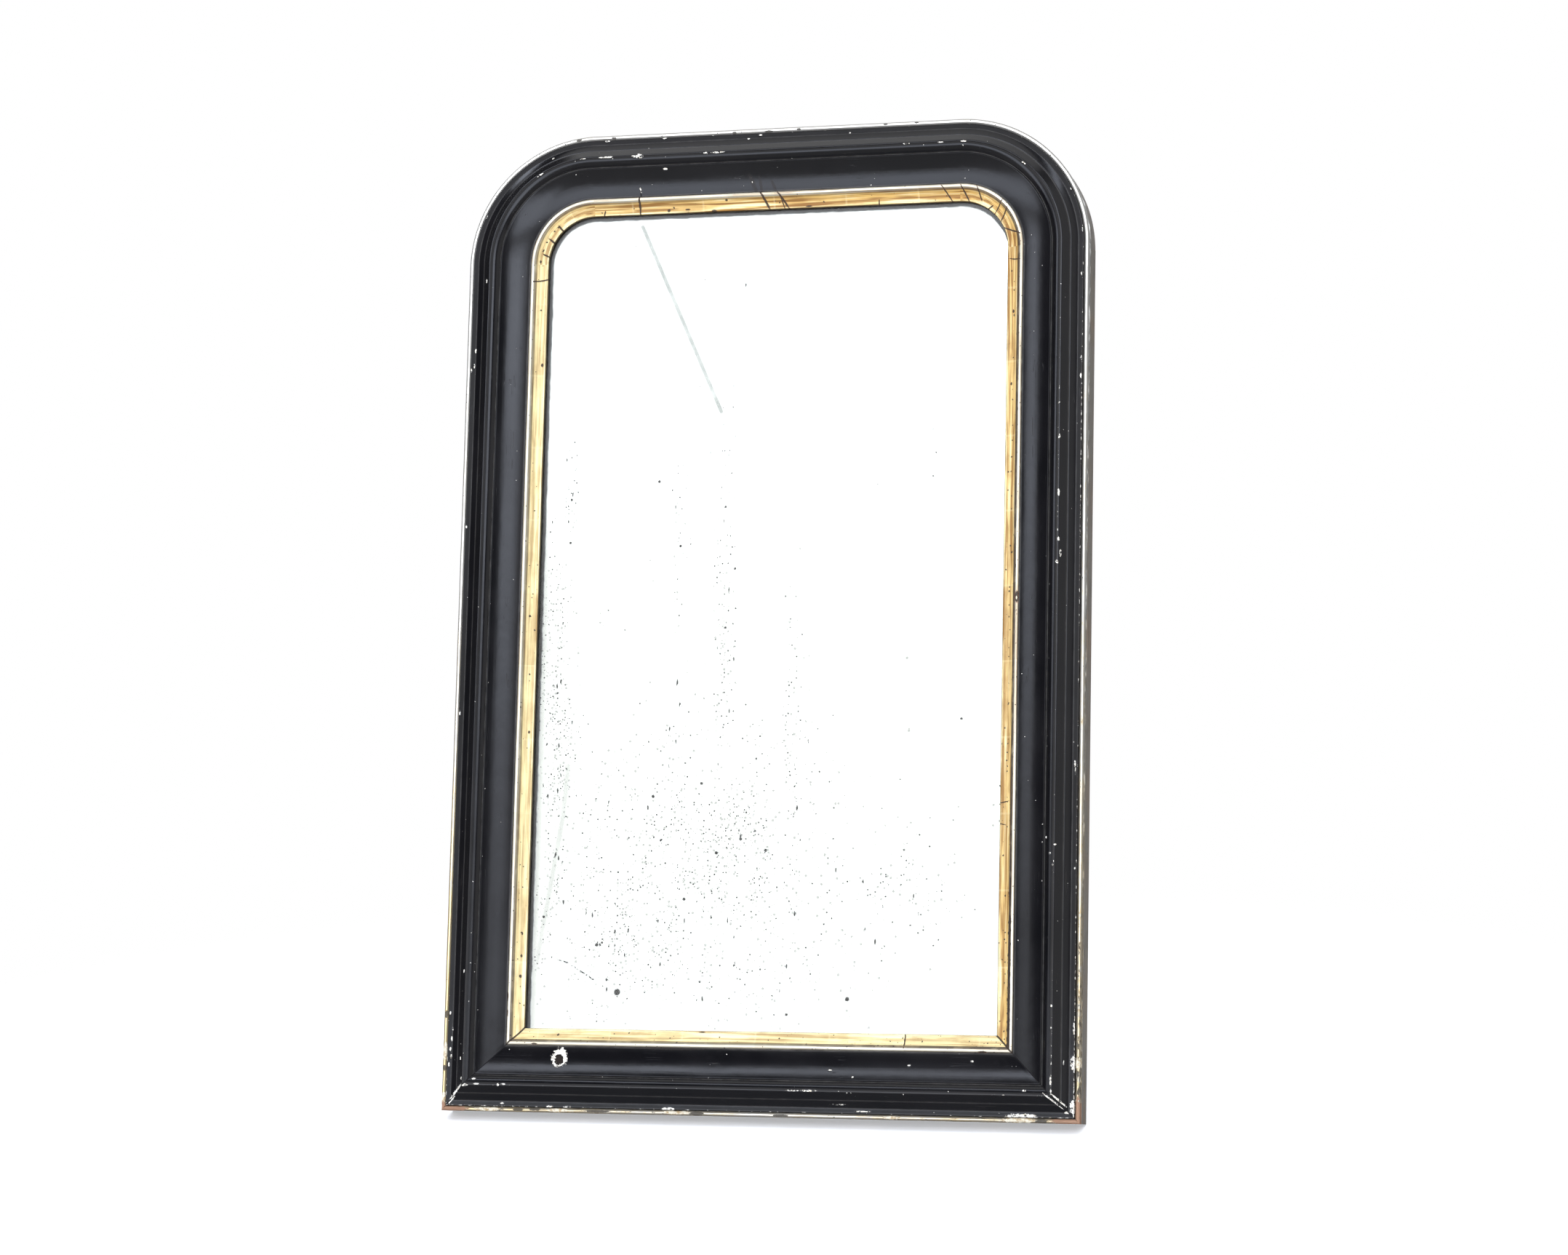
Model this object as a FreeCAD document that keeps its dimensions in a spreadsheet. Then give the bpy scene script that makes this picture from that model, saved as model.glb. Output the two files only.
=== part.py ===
"""Arched wall mirror: a carcass of softwood, a moulded frame laid on it, and a silvered plate behind.

The frame is made in layers. Each layer runs round the mirror in six lengths: two stiles and a bottom
rail that meet in mitres, a top rail, and two quarter-round corner blocks. A layer's section is drawn
once, as points (across, up): across is measured inwards from the outer side of the frame, and up is
measured forwards from the plane of the wall.

Millimetres. X is to the right, Y points back into the wall and Z is up. The origin is on the wall
plane, under the middle of the bottom rail.
"""

import FreeCAD, Part

import math
import os

import Sketcher

V = FreeCAD.Vector

# Driving dimensions, in millimetres, and counts
SIZES = {
    "overall_width": 700.0,
    "overall_height": 1078.0,
    "corner_radius": 143.0,
    # carcass
    "carcass_thickness": 28.0,
    "board_rebate_width": 10.0,
    "board_rebate_depth": 7.0,
    # outer gilt bead
    "bead_width": 5.6,
    "bead_wall": 9.9,
    "bead_crown": 1.9,
    # black moulding, from the gilt slip outwards
    "moulding_width": 66.0,
    "moulding_edge": 11.0,
    "cavetto_width": 31.3,
    "cavetto_rise": 10.5,
    "cavetto_sag": 1.5,
    "quirk_width": 1.4,
    "quirk_drop": 1.8,
    "roll_width": 9.6,
    "roll_rise": 5.3,
    "shoulder_width": 2.4,
    "shoulder_drop": 0.5,
    "slope_width": 7.5,
    "slope_drop": 7.0,
    "ledge_width": 1.1,
    "ledge_drop": 0.3,
    "hollow_width": 7.0,
    "hollow_drop": 4.0,
    "hollow_sag": 0.2,
    "arris_radius": 1.0,
    # gilt slip round the sight opening
    "slip_width": 18.6,
    "slip_bead_width": 5.0,
    "slip_bead_wall": 10.2,
    "slip_bead_crown": 1.7,
    "slip_quirk_width": 0.8,
    "slip_quirk_drop": 0.4,
    "slip_cove_width": 10.8,
    "slip_cove_drop": 5.0,
    "slip_cove_sag": 1.3,
    "slip_lip_drop": 1.0,
    "slip_lip_crown": 0.5,
    # mirror plate
    "slip_overhang": 11.2,
    "shim_height": 2.0,
    "glass_thickness": 3.0,
    "silver_thickness": 0.2,
    "shim_length": 30.0,
    "shim_depth": 3.0,
    "shim_inset": 110.0,
    "block_length": 60.0,
    "block_width": 9.0,
    "block_depth": 14.0,
    # back boards
    "board_thickness": 6.0,
    "board_clearance": 1.0,
    "board_gap": 1.0,
    "nail_radius": 0.9,
    "nail_length": 18.0,
    "nail_head_radius": 2.4,
    "nail_head_thickness": 0.7,
    "nail_fit": 0.03,
    "nail_inset": 22.0,
    # dowels and mitre keys in the carcass
    "dowel_radius": 4.0,
    "dowel_length": 50.0,
    "dowel_fit": 0.05,
    "dowel_end_gap": 1.0,
    "dowel_first": 20.0,
    "dowel_pitch": 32.0,
    "dowel_up": 17.0,
    "key_leg": 55.0,
    "key_thickness": 4.0,
    "key_up": 12.0,
    # hangers
    "hanger_across": 35.0,
    "hanger_height": 776.0,
    "strap_width": 14.0,
    "strap_length": 50.0,
    "strap_thickness": 1.2,
    "barrel_wall": 1.2,
    "barrel_fit": 0.08,
    "barrel_clearance": 0.3,
    "ring_wire_radius": 1.6,
    "ring_half_width": 13.0,
    "ring_bend_radius": 4.0,
    "ring_side": 6.0,
    "screw_first": 28.0,
    "screw_pitch": 12.0,
    "screw_radius": 1.6,
    "screw_length": 20.0,
    "screw_fit": 0.05,
    "screw_head_radius": 3.6,
    "screw_head_height": 2.0,
    "screw_head_crown": 0.9,
    "screw_slot_width": 0.8,
    "screw_slot_depth": 0.9,
    "cut_overrun": 2.0,
}
STILE_NAILS = 5
RAIL_NAILS = 2
BOARDS = 3
STILE_BLOCKS = 3
RAIL_BLOCKS = 2
DOWELS = 2
SCREWS = 2
SIDES = {"left": -1, "right": 1}

doc = FreeCAD.newDocument("arched_mirror")
sheet = doc.addObject("Spreadsheet::Sheet", "dims")
nodes = []


class Size:
    """A length with its number and the expression that binds it to the sheet."""

    def __init__(self, value, text):
        self.value = value
        self.text = text

    @staticmethod
    def of(other):
        return other if isinstance(other, Size) else Size(float(other), repr(float(other)))

    def __add__(self, other):
        other = Size.of(other)
        return Size(self.value + other.value, f"({self.text} + {other.text})")

    def __sub__(self, other):
        other = Size.of(other)
        return Size(self.value - other.value, f"({self.text} - {other.text})")

    def __mul__(self, other):
        other = Size.of(other)
        return Size(self.value * other.value, f"({self.text} * {other.text})")

    def __truediv__(self, other):
        other = Size.of(other)
        return Size(self.value / other.value, f"({self.text} / {other.text})")

    def __neg__(self):
        return Size(-self.value, f"(-{self.text})")


def fill_sheet():
    """Writes the driving dimensions to the sheet and returns each as a Size under its own name."""
    found = {}
    for row, (name, value) in enumerate(SIZES.items(), 1):
        sheet.set(f"A{row}", name)
        sheet.set(f"B{row}", repr(value))
        sheet.setAlias(f"B{row}", name)
        found[name] = Size(value, f"dims.{name}")
    doc.recompute()
    return found


D = fill_sheet()
ZERO = Size(0.0, "0")
HALF_WIDTH = D["overall_width"] / 2
MOULDING_EDGE = D["bead_width"] + D["moulding_width"]
FACE_WIDTH = MOULDING_EDGE + D["slip_width"]
CORNER_X = HALF_WIDTH - D["corner_radius"]
CORNER_Z = D["overall_height"] - D["corner_radius"]
CARCASS_EDGE = FACE_WIDTH - D["slip_overhang"]
GLASS_EDGE = CARCASS_EDGE + D["shim_height"]
GLASS_BACK = D["carcass_thickness"] - D["glass_thickness"]
SILVER_BACK = GLASS_BACK - D["silver_thickness"]
BOARD_LEDGE = CARCASS_EDGE - D["board_rebate_width"]
BOARD_EDGE = BOARD_LEDGE + D["board_clearance"]
BOARD_BACK = D["board_rebate_depth"] - D["board_thickness"]
NAIL_LINE = (BOARD_EDGE + CARCASS_EDGE) / 2
ARRIS_UP = D["carcass_thickness"] + D["moulding_edge"] + D["cavetto_rise"]
FRAME_DEPTH = ARRIS_UP - D["quirk_drop"] + D["roll_rise"]


def bulge(chord_across, chord_up, sag):
    """The radius of an arc over a chord of those two legs that stands off it by sag."""
    return (chord_across * chord_across + chord_up * chord_up) / (sag * 8) + sag / 2


# Sections. A point is (across, up), and one with a third value is reached by an arc of that radius,
# which turns left as the section is drawn, or right when the radius is negative.


def carcass_section():
    """A plank rebated at the back of its inner edge for the boards."""
    return [
        (ZERO, ZERO),
        (BOARD_LEDGE, ZERO),
        (BOARD_LEDGE, D["board_rebate_depth"]),
        (CARCASS_EDGE, D["board_rebate_depth"]),
        (CARCASS_EDGE, D["carcass_thickness"]),
        (ZERO, D["carcass_thickness"]),
    ]


def bead_section():
    """A square strip with a rounded crown."""
    foot = D["carcass_thickness"]
    top = foot + D["bead_wall"]
    crown = bulge(D["bead_width"], ZERO, D["bead_crown"])
    return [
        (ZERO, foot),
        (D["bead_width"], foot),
        (D["bead_width"], top),
        (ZERO, top, crown),
    ]


def moulding_section():
    """From the slip outwards: a wide cavetto, a quirk, a roll, a slope, a ledge, a hollow and a fillet."""
    foot = D["carcass_thickness"]
    across = MOULDING_EDGE
    up = foot + D["moulding_edge"]
    width, rise = D["cavetto_width"], D["cavetto_rise"]
    points = [(D["bead_width"], foot), (across, foot), (across, up)]
    across, up = across - width, up + rise
    points.append((across, up, -bulge(width, rise, D["cavetto_sag"])))
    across, up = across - D["quirk_width"], up - D["quirk_drop"]
    points.append((across, up))
    width, rise = D["roll_width"], D["roll_rise"]
    across, up = across - width, up + rise
    points.append((across, up, (width * width + rise * rise) / (rise * 2)))
    width, rise = D["shoulder_width"], D["shoulder_drop"]
    across, up = across - width, up - rise
    points.append((across, up, (width * width + rise * rise) / (rise * 2)))
    across, up = across - D["slope_width"], up - D["slope_drop"]
    points.append((across, up))
    across, up = across - D["ledge_width"], up - D["ledge_drop"]
    points.append((across, up))
    across, up = across - D["hollow_width"], up - D["hollow_drop"]
    points.append((across, up, -bulge(D["hollow_width"], D["hollow_drop"], D["hollow_sag"])))
    points.append((D["bead_width"] + D["arris_radius"], up))
    points.append((D["bead_width"], up - D["arris_radius"], D["arris_radius"]))
    return points


def slip_section():
    """From the sight opening outwards: a thin lip, a cove, a quirk and a bead against the moulding."""
    foot = D["carcass_thickness"]
    bead_top = foot + D["slip_bead_wall"]
    inner = MOULDING_EDGE + D["slip_bead_width"]
    quirk = inner + D["slip_quirk_width"]
    quirk_up = bead_top - D["slip_quirk_drop"]
    cove = quirk + D["slip_cove_width"]
    cove_up = quirk_up - D["slip_cove_drop"]
    lip_width = FACE_WIDTH - cove
    lip_up = cove_up - D["slip_lip_drop"]
    return [
        (MOULDING_EDGE, foot),
        (FACE_WIDTH, foot),
        (FACE_WIDTH, lip_up),
        (cove, cove_up, bulge(lip_width, D["slip_lip_drop"], D["slip_lip_crown"])),
        (quirk, quirk_up, -bulge(D["slip_cove_width"], D["slip_cove_drop"], D["slip_cove_sag"])),
        (inner, bead_top),
        (MOULDING_EDGE, bead_top, bulge(D["slip_bead_width"], ZERO, D["slip_bead_crown"])),
    ]


# Drawing


def add_body(name):
    """A body whose label names its file."""
    body = doc.addObject("PartDesign::Body", name)
    body.Label = name
    return body


def add_sketch(body, role, offset=ZERO):
    """A sketch on one of the body's own planes, moved along that plane's normal by offset."""
    plane = next(item for item in body.Origin.OriginFeatures if item.Role == role)
    sketch = body.newObject("Sketcher::SketchObject", f"{body.Name}_{role[:2].lower()}")
    sketch.AttachmentSupport = [(plane, "")]
    sketch.MapMode = "FlatFace"
    sketch.AttachmentOffset = FreeCAD.Placement(V(0, 0, offset.value), FreeCAD.Rotation())
    sketch.setExpression("AttachmentOffset.Base.z", offset.text)
    return sketch


def bind(sketch, constraint, size):
    """Adds a constraint and binds its value to the sheet."""
    index = sketch.addConstraint(constraint)
    sketch.setExpression(f"Constraints[{index}]", size.text)


def pin_down(sketch, piece, point, x, y):
    """Fixes one point of the sketch at a place worked out from the sheet."""
    bind(sketch, Sketcher.Constraint("DistanceX", piece, point, x.value), x)
    bind(sketch, Sketcher.Constraint("DistanceY", piece, point, y.value), y)


def arc_between(start, end, radius):
    """The arc from start to end that turns left for a positive radius, and whether it is drawn backwards."""
    middle = (start + end) / 2
    leg = end - start
    left = V(-leg.y, leg.x, 0).normalize()
    turn = math.copysign(1, radius)
    stand_off = math.sqrt(max(radius * radius - (leg.Length / 2) ** 2, 0))
    centre = middle + left * stand_off * turn
    first, last = (start, end) if turn > 0 else (end, start)
    angles = [math.atan2(p.y - centre.y, p.x - centre.x) for p in (first, last)]
    circle = Part.Circle(centre, V(0, 0, 1), abs(radius))
    return Part.ArcOfCircle(circle, angles[0], angles[1]), turn < 0


def draw_outline(sketch, points):
    """Draws a closed outline of lines and arcs and fixes every corner and radius."""
    spots = [V(p[0].value, p[1].value, 0) for p in points]
    ends = []
    for index, start in enumerate(spots):
        target = points[(index + 1) % len(points)]
        end = spots[(index + 1) % len(points)]
        if len(target) == 3:
            arc, backwards = arc_between(start, end, target[2].value)
            piece = sketch.addGeometry(arc, False)
            ends.append((piece, 2, 1) if backwards else (piece, 1, 2))
            radius = target[2] if target[2].value > 0 else -target[2]
            bind(sketch, Sketcher.Constraint("Radius", piece, radius.value), radius)
        else:
            piece = sketch.addGeometry(Part.LineSegment(start, end), False)
            ends.append((piece, 1, 2))
    for index, (piece, first, _) in enumerate(ends):
        before, _, last = ends[index - 1]
        sketch.addConstraint(Sketcher.Constraint("Coincident", before, last, piece, first))
        pin_down(sketch, piece, first, points[index][0], points[index][1])


def draw_circles(sketch, centres, radius):
    """Draws a circle of one radius at each centre."""
    for x, y in centres:
        circle = Part.Circle(V(x.value, y.value, 0), V(0, 0, 1), radius.value)
        piece = sketch.addGeometry(circle, False)
        pin_down(sketch, piece, 3, x, y)
        bind(sketch, Sketcher.Constraint("Radius", piece, radius.value), radius)


def placed(section, place, turned_over):
    """Moves a section's points into a sketch. A place that mirrors it turns its arcs the other way."""
    moved = []
    for point in section:
        x, y = place(point[0], point[1])
        if len(point) == 3:
            moved.append((x, y, -point[2] if turned_over else point[2]))
        else:
            moved.append((x, y))
    return moved


def pad(body, sketch, length, back=False, both=False):
    """Extrudes a sketch along its plane's normal, back against it, or half each way."""
    feature = body.newObject("PartDesign::Pad", f"{body.Name}_pad")
    feature.Profile = sketch
    feature.Length = length.value
    feature.setExpression("Length", length.text)
    feature.Reversed = back
    if both:
        feature.Midplane = True
    sketch.Visibility = False
    doc.recompute()
    return feature


def pocket(body, sketch, depth, with_normal=False):
    """Cuts a sketch into the body, against its plane's normal or with it, and checks that it cut."""
    before = body.Shape.Volume
    feature = body.newObject("PartDesign::Pocket", f"{body.Name}_pocket")
    feature.Profile = sketch
    feature.Length = depth.value
    feature.setExpression("Length", depth.text)
    feature.Reversed = with_normal
    doc.recompute()
    if body.Shape.Volume >= before:
        raise RuntimeError(f"{feature.Name} cuts nothing from {body.Name}")
    return feature


# Lengths of the frame


def cut_mitre(body, side):
    """Cuts a stile's foot along the line at 45 degrees from the frame's lower corner."""
    run = D["cut_overrun"]
    reach = FACE_WIDTH + run
    outside = -HALF_WIDTH if side < 0 else HALF_WIDTH
    beyond = outside - run if side < 0 else outside + run
    inside = outside + reach if side < 0 else outside - reach
    sketch = add_sketch(body, "XZ_Plane")
    draw_outline(sketch, [(beyond, -run), (inside, -run), (inside, reach)])
    pocket(body, sketch, FRAME_DEPTH + D["cut_overrun"], with_normal=True)


def cut_rail_mitres(body):
    """Cuts both ends of the bottom rail along the same two lines."""
    run = D["cut_overrun"]
    reach = FACE_WIDTH + run
    for side in SIDES.values():
        outside = -HALF_WIDTH if side < 0 else HALF_WIDTH
        beyond = outside - run if side < 0 else outside + run
        inside = outside + reach if side < 0 else outside - reach
        sketch = add_sketch(body, "XZ_Plane")
        draw_outline(sketch, [(beyond, -run), (inside, reach), (beyond, reach)])
        pocket(body, sketch, FRAME_DEPTH + D["cut_overrun"], with_normal=True)


def make_stile(name, section, side):
    """One upright length, from its mitred foot to the corner block."""
    body = add_body(name)
    sketch = add_sketch(body, "XY_Plane")
    if side < 0:
        points = placed(section, lambda across, up: (across - HALF_WIDTH, -up), True)
    else:
        points = placed(section, lambda across, up: (HALF_WIDTH - across, -up), False)
    draw_outline(sketch, points)
    pad(body, sketch, CORNER_Z)
    cut_mitre(body, side)
    return body


def make_bottom_rail(name, section):
    """The lower length, mitred at both ends."""
    body = add_body(name)
    sketch = add_sketch(body, "YZ_Plane")
    draw_outline(sketch, placed(section, lambda across, up: (-up, across), False))
    pad(body, sketch, D["overall_width"], both=True)
    cut_rail_mitres(body)
    return body


def make_top_rail(name, section):
    """The upper length, square at both ends."""
    body = add_body(name)
    sketch = add_sketch(body, "YZ_Plane")
    top = D["overall_height"]
    draw_outline(sketch, placed(section, lambda across, up: (-up, top - across), True))
    pad(body, sketch, CORNER_X * 2, both=True)
    return body


def make_corner(name, section, side):
    """A quarter-round block, turned about the corner's centre from the stile to the top rail."""
    body = add_body(name)
    sketch = add_sketch(body, "XY_Plane", CORNER_Z)
    if side < 0:
        points = placed(section, lambda across, up: (across - HALF_WIDTH, -up), True)
        centre = -CORNER_X
    else:
        points = placed(section, lambda across, up: (HALF_WIDTH - across, -up), False)
        centre = CORNER_X
    draw_outline(sketch, points)
    foot = V(centre.value, 0, 0)
    head = V(centre.value, D["carcass_thickness"].value, 0)
    axis = sketch.addGeometry(Part.LineSegment(foot, head), True)
    pin_down(sketch, axis, 1, centre, ZERO)
    pin_down(sketch, axis, 2, centre, D["carcass_thickness"])
    feature = body.newObject("PartDesign::Revolution", f"{name}_turn")
    feature.Profile = sketch
    feature.ReferenceAxis = (sketch, ["Axis0"])
    feature.Angle = 90
    feature.Reversed = side > 0
    sketch.Visibility = False
    doc.recompute()
    return body


def make_layer(layer, section):
    """The six lengths of one layer, by their places in the frame."""
    made = {"top_rail": make_top_rail(f"{layer}_top_rail", section)}
    made["bottom_rail"] = make_bottom_rail(f"{layer}_bottom_rail", section)
    for word, side in SIDES.items():
        made[f"{word}_stile"] = make_stile(f"{layer}_{word}_stile", section, side)
        made[f"{word}_corner"] = make_corner(f"{layer}_{word}_corner", section, side)
    nodes.extend(made.values())
    return made


# Joints of the carcass


def dowel_places():
    """Where the dowels stand across the carcass, all at one distance from the wall."""
    return [D["dowel_first"] + D["dowel_pitch"] * k for k in range(DOWELS)]


def bore_dowels(carcass):
    """Blind holes for the dowels, in both faces of each of the four joints."""
    depth = (D["dowel_length"] + D["dowel_end_gap"]) / 2
    radius = D["dowel_radius"] + D["dowel_fit"]
    for word, side in SIDES.items():
        edge = [across - HALF_WIDTH if side < 0 else HALF_WIDTH - across for across in dowel_places()]
        upright = [(x, -D["dowel_up"]) for x in edge]
        level = [(-D["dowel_up"], D["overall_height"] - across) for across in dowel_places()]
        for body, up in ((carcass[f"{word}_stile"], False), (carcass[f"{word}_corner"], True)):
            sketch = add_sketch(body, "XY_Plane", CORNER_Z)
            draw_circles(sketch, upright, radius)
            pocket(body, sketch, depth, with_normal=up)
        end = -CORNER_X if side < 0 else CORNER_X
        for body, out in ((carcass["top_rail"], False), (carcass[f"{word}_corner"], True)):
            sketch = add_sketch(body, "YZ_Plane", end)
            draw_circles(sketch, level, radius)
            pocket(body, sketch, depth, with_normal=out == (side > 0))


def make_cylinder(name, radius, length, place, turn):
    """A cylinder bound to the sheet, with its foot at place and its axis turned from +Z."""
    rod = doc.addObject("Part::Cylinder", name)
    rod.Radius = radius.value
    rod.Height = length.value
    rod.setExpression("Radius", radius.text)
    rod.setExpression("Height", length.text)
    rod.Placement = FreeCAD.Placement(V(*[c.value for c in place]), turn)
    for letter, size in zip("xyz", place):
        rod.setExpression(f"Placement.Base.{letter}", size.text)
    return rod


def group(name, members):
    """Several separate solids of one kind, as one node."""
    bundle = doc.addObject("Part::Compound", name)
    bundle.Label = name
    bundle.Links = members
    nodes.append(bundle)
    return bundle


ALONG_X = FreeCAD.Rotation(V(0, 1, 0), 90)
ALONG_Y = FreeCAD.Rotation(V(1, 0, 0), -90)
TOWARDS_FRONT = FreeCAD.Rotation(V(1, 0, 0), 90)
UPRIGHT = FreeCAD.Rotation()


def make_dowel(name, place, turn):
    """One dowel with its end at place."""
    return make_cylinder(name, D["dowel_radius"], D["dowel_length"], place, turn)


def make_dowels():
    """Two dowels in each joint between a corner block and its neighbours."""
    half = D["dowel_length"] / 2
    for word, side in SIDES.items():
        upright, level = [], []
        for k, across in enumerate(dowel_places()):
            x = across - HALF_WIDTH if side < 0 else HALF_WIDTH - across
            place = (x, -D["dowel_up"], CORNER_Z - half)
            upright.append(make_dowel(f"{word}_upright_dowel_{k}", place, UPRIGHT))
            end = -CORNER_X if side < 0 else CORNER_X
            place = (end - half, -D["dowel_up"], D["overall_height"] - across)
            level.append(make_dowel(f"{word}_level_dowel_{k}", place, ALONG_X))
        group(f"dowels_{word}_stile", upright)
        group(f"dowels_{word}_top", level)


def key_outline(side):
    """The three corners of a mitre key, in the plane of the frame."""
    outside = -HALF_WIDTH if side < 0 else HALF_WIDTH
    inside = outside + D["key_leg"] if side < 0 else outside - D["key_leg"]
    return [(outside, ZERO), (inside, ZERO), (outside, D["key_leg"])]


def make_mitre_keys(carcass):
    """Thin triangular keys let into the outside of the two mitres, and their slots."""
    for word, side in SIDES.items():
        for body in (carcass[f"{word}_stile"], carcass["bottom_rail"]):
            sketch = add_sketch(body, "XZ_Plane", D["key_up"])
            draw_outline(sketch, key_outline(side))
            pocket(body, sketch, D["key_thickness"], with_normal=True)
        key = add_body(f"mitre_key_{word}")
        sketch = add_sketch(key, "XZ_Plane", D["key_up"])
        draw_outline(sketch, key_outline(side))
        pad(key, sketch, D["key_thickness"])
        nodes.append(key)


# Mirror plate


def arched_outline(across):
    """The frame's outline drawn in by across: square below, round above, in the plane of the frame."""
    side = HALF_WIDTH - across
    top = D["overall_height"] - across
    radius = D["corner_radius"] - across
    return [
        (-side, across),
        (side, across),
        (side, CORNER_Z),
        (CORNER_X, top, radius),
        (-CORNER_X, top),
        (-side, CORNER_Z, radius),
    ]


def make_plate(name, across, back, thickness):
    """A flat plate of the arched outline, with its back at that distance from the wall."""
    body = add_body(name)
    sketch = add_sketch(body, "XZ_Plane", back)
    draw_outline(sketch, arched_outline(across))
    pad(body, sketch, thickness)
    nodes.append(body)


def make_box(name, corner, size):
    """A box bound to the sheet, by its lowest corner and its size."""
    box = doc.addObject("Part::Box", name)
    for letter, place, prop, length in zip("xyz", corner, ("Length", "Width", "Height"), size):
        setattr(box, prop, length.value)
        box.setExpression(prop, length.text)
    box.Placement = FreeCAD.Placement(V(*[c.value for c in corner]), UPRIGHT)
    for letter, place in zip("xyz", corner):
        box.setExpression(f"Placement.Base.{letter}", place.text)
    return box


def make_shims():
    """Two slips of wood that carry the plate's lower edge off the bottom rail."""
    made = []
    for word, side in SIDES.items():
        start = D["shim_inset"] - HALF_WIDTH
        if side > 0:
            start = HALF_WIDTH - D["shim_inset"] - D["shim_length"]
        corner = (start, -(GLASS_BACK + D["shim_depth"]), CARCASS_EDGE)
        size = (D["shim_length"], D["shim_depth"], D["shim_height"])
        made.append(make_box(f"shim_{word}", corner, size))
    group("glass_shims", made)


def block_starts(start, end, count):
    """The lower ends of count blocks, spread evenly over a length with half a space at each end."""
    pitch = (end - start) / count
    first = start + pitch / 2 - D["block_length"] / 2
    return [first + pitch * k for k in range(count)]


def make_block(name, points, role, start):
    """One triangular block of that section, run along the normal of its plane."""
    body = add_body(name)
    sketch = add_sketch(body, role, start)
    draw_outline(sketch, points)
    pad(body, sketch, D["block_length"])
    return body


def block_section(place):
    """A right-angled block against the rebate's wall and the back of the plate."""
    corner = place(CARCASS_EDGE, SILVER_BACK)
    along = place(CARCASS_EDGE + D["block_width"], SILVER_BACK)
    below = place(CARCASS_EDGE, SILVER_BACK - D["block_depth"])
    return [corner, along, below]


def make_blocks():
    """Triangular glue blocks that hold the plate in its rebate, round all four sides."""
    for word, side in SIDES.items():
        if side < 0:
            section = block_section(lambda across, up: (across - HALF_WIDTH, -up))
        else:
            section = block_section(lambda across, up: (HALF_WIDTH - across, -up))
        starts = block_starts(FACE_WIDTH, CORNER_Z, STILE_BLOCKS)
        made = [make_block(f"{word}_block_{k}", section, "XY_Plane", z) for k, z in enumerate(starts)]
        group(f"glue_blocks_{word}", made)
    top = D["overall_height"]
    rails = {
        "top": block_section(lambda across, up: (-up, top - across)),
        "bottom": block_section(lambda across, up: (-up, across)),
    }
    for word, section in rails.items():
        starts = block_starts(-CORNER_X, CORNER_X, RAIL_BLOCKS)
        made = [make_block(f"{word}_block_{k}", section, "YZ_Plane", x) for k, x in enumerate(starts)]
        group(f"glue_blocks_{word}", made)


# Back boards and their nails


def board_span(index):
    """The left and right edges of one upright board."""
    pitch = (HALF_WIDTH * 2 - BOARD_EDGE * 2 + D["board_gap"]) / BOARDS
    left = BOARD_EDGE - HALF_WIDTH + pitch * index
    return left, left + pitch - D["board_gap"]


def board_outline(index):
    """A board's outline. The outer two are rounded where the frame is."""
    left, right = board_span(index)
    top = D["overall_height"] - BOARD_EDGE
    radius = D["corner_radius"] - BOARD_EDGE
    points = [(left, BOARD_EDGE), (right, BOARD_EDGE)]
    if index == BOARDS - 1:
        points += [(right, CORNER_Z), (CORNER_X, top, radius)]
    else:
        points.append((right, top))
    if index == 0:
        points += [(-CORNER_X, top), (left, CORNER_Z, radius)]
    else:
        points.append((left, top))
    return points


def rail_nail_places(index):
    """Where the nails of one board go through it into the rails, along X."""
    left, right = board_span(index)
    start = left + D["nail_inset"]
    end = right - D["nail_inset"]
    if index == 0:
        start = -CORNER_X + D["nail_inset"]
    if index == BOARDS - 1:
        end = CORNER_X - D["nail_inset"]
    pitch = (end - start) / (RAIL_NAILS - 1)
    return [start + pitch * k for k in range(RAIL_NAILS)]


def stile_nail_places():
    """The heights of the nails into a stile."""
    start = NAIL_LINE + D["nail_inset"] * 2
    pitch = (CORNER_Z - D["nail_inset"] - start) / (STILE_NAILS - 1)
    return [start + pitch * k for k in range(STILE_NAILS)]


def nail_places():
    """Every nail's place (x, z), by the length of carcass that it goes into and its board."""
    top = D["overall_height"] - NAIL_LINE
    found = []
    for index in range(BOARDS):
        for x in rail_nail_places(index):
            found.append(("bottom_rail", index, (x, NAIL_LINE)))
            found.append(("top_rail", index, (x, top)))
    for z in stile_nail_places():
        found.append(("left_stile", 0, (NAIL_LINE - HALF_WIDTH, z)))
        found.append(("right_stile", BOARDS - 1, (HALF_WIDTH - NAIL_LINE, z)))
    return found


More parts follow.
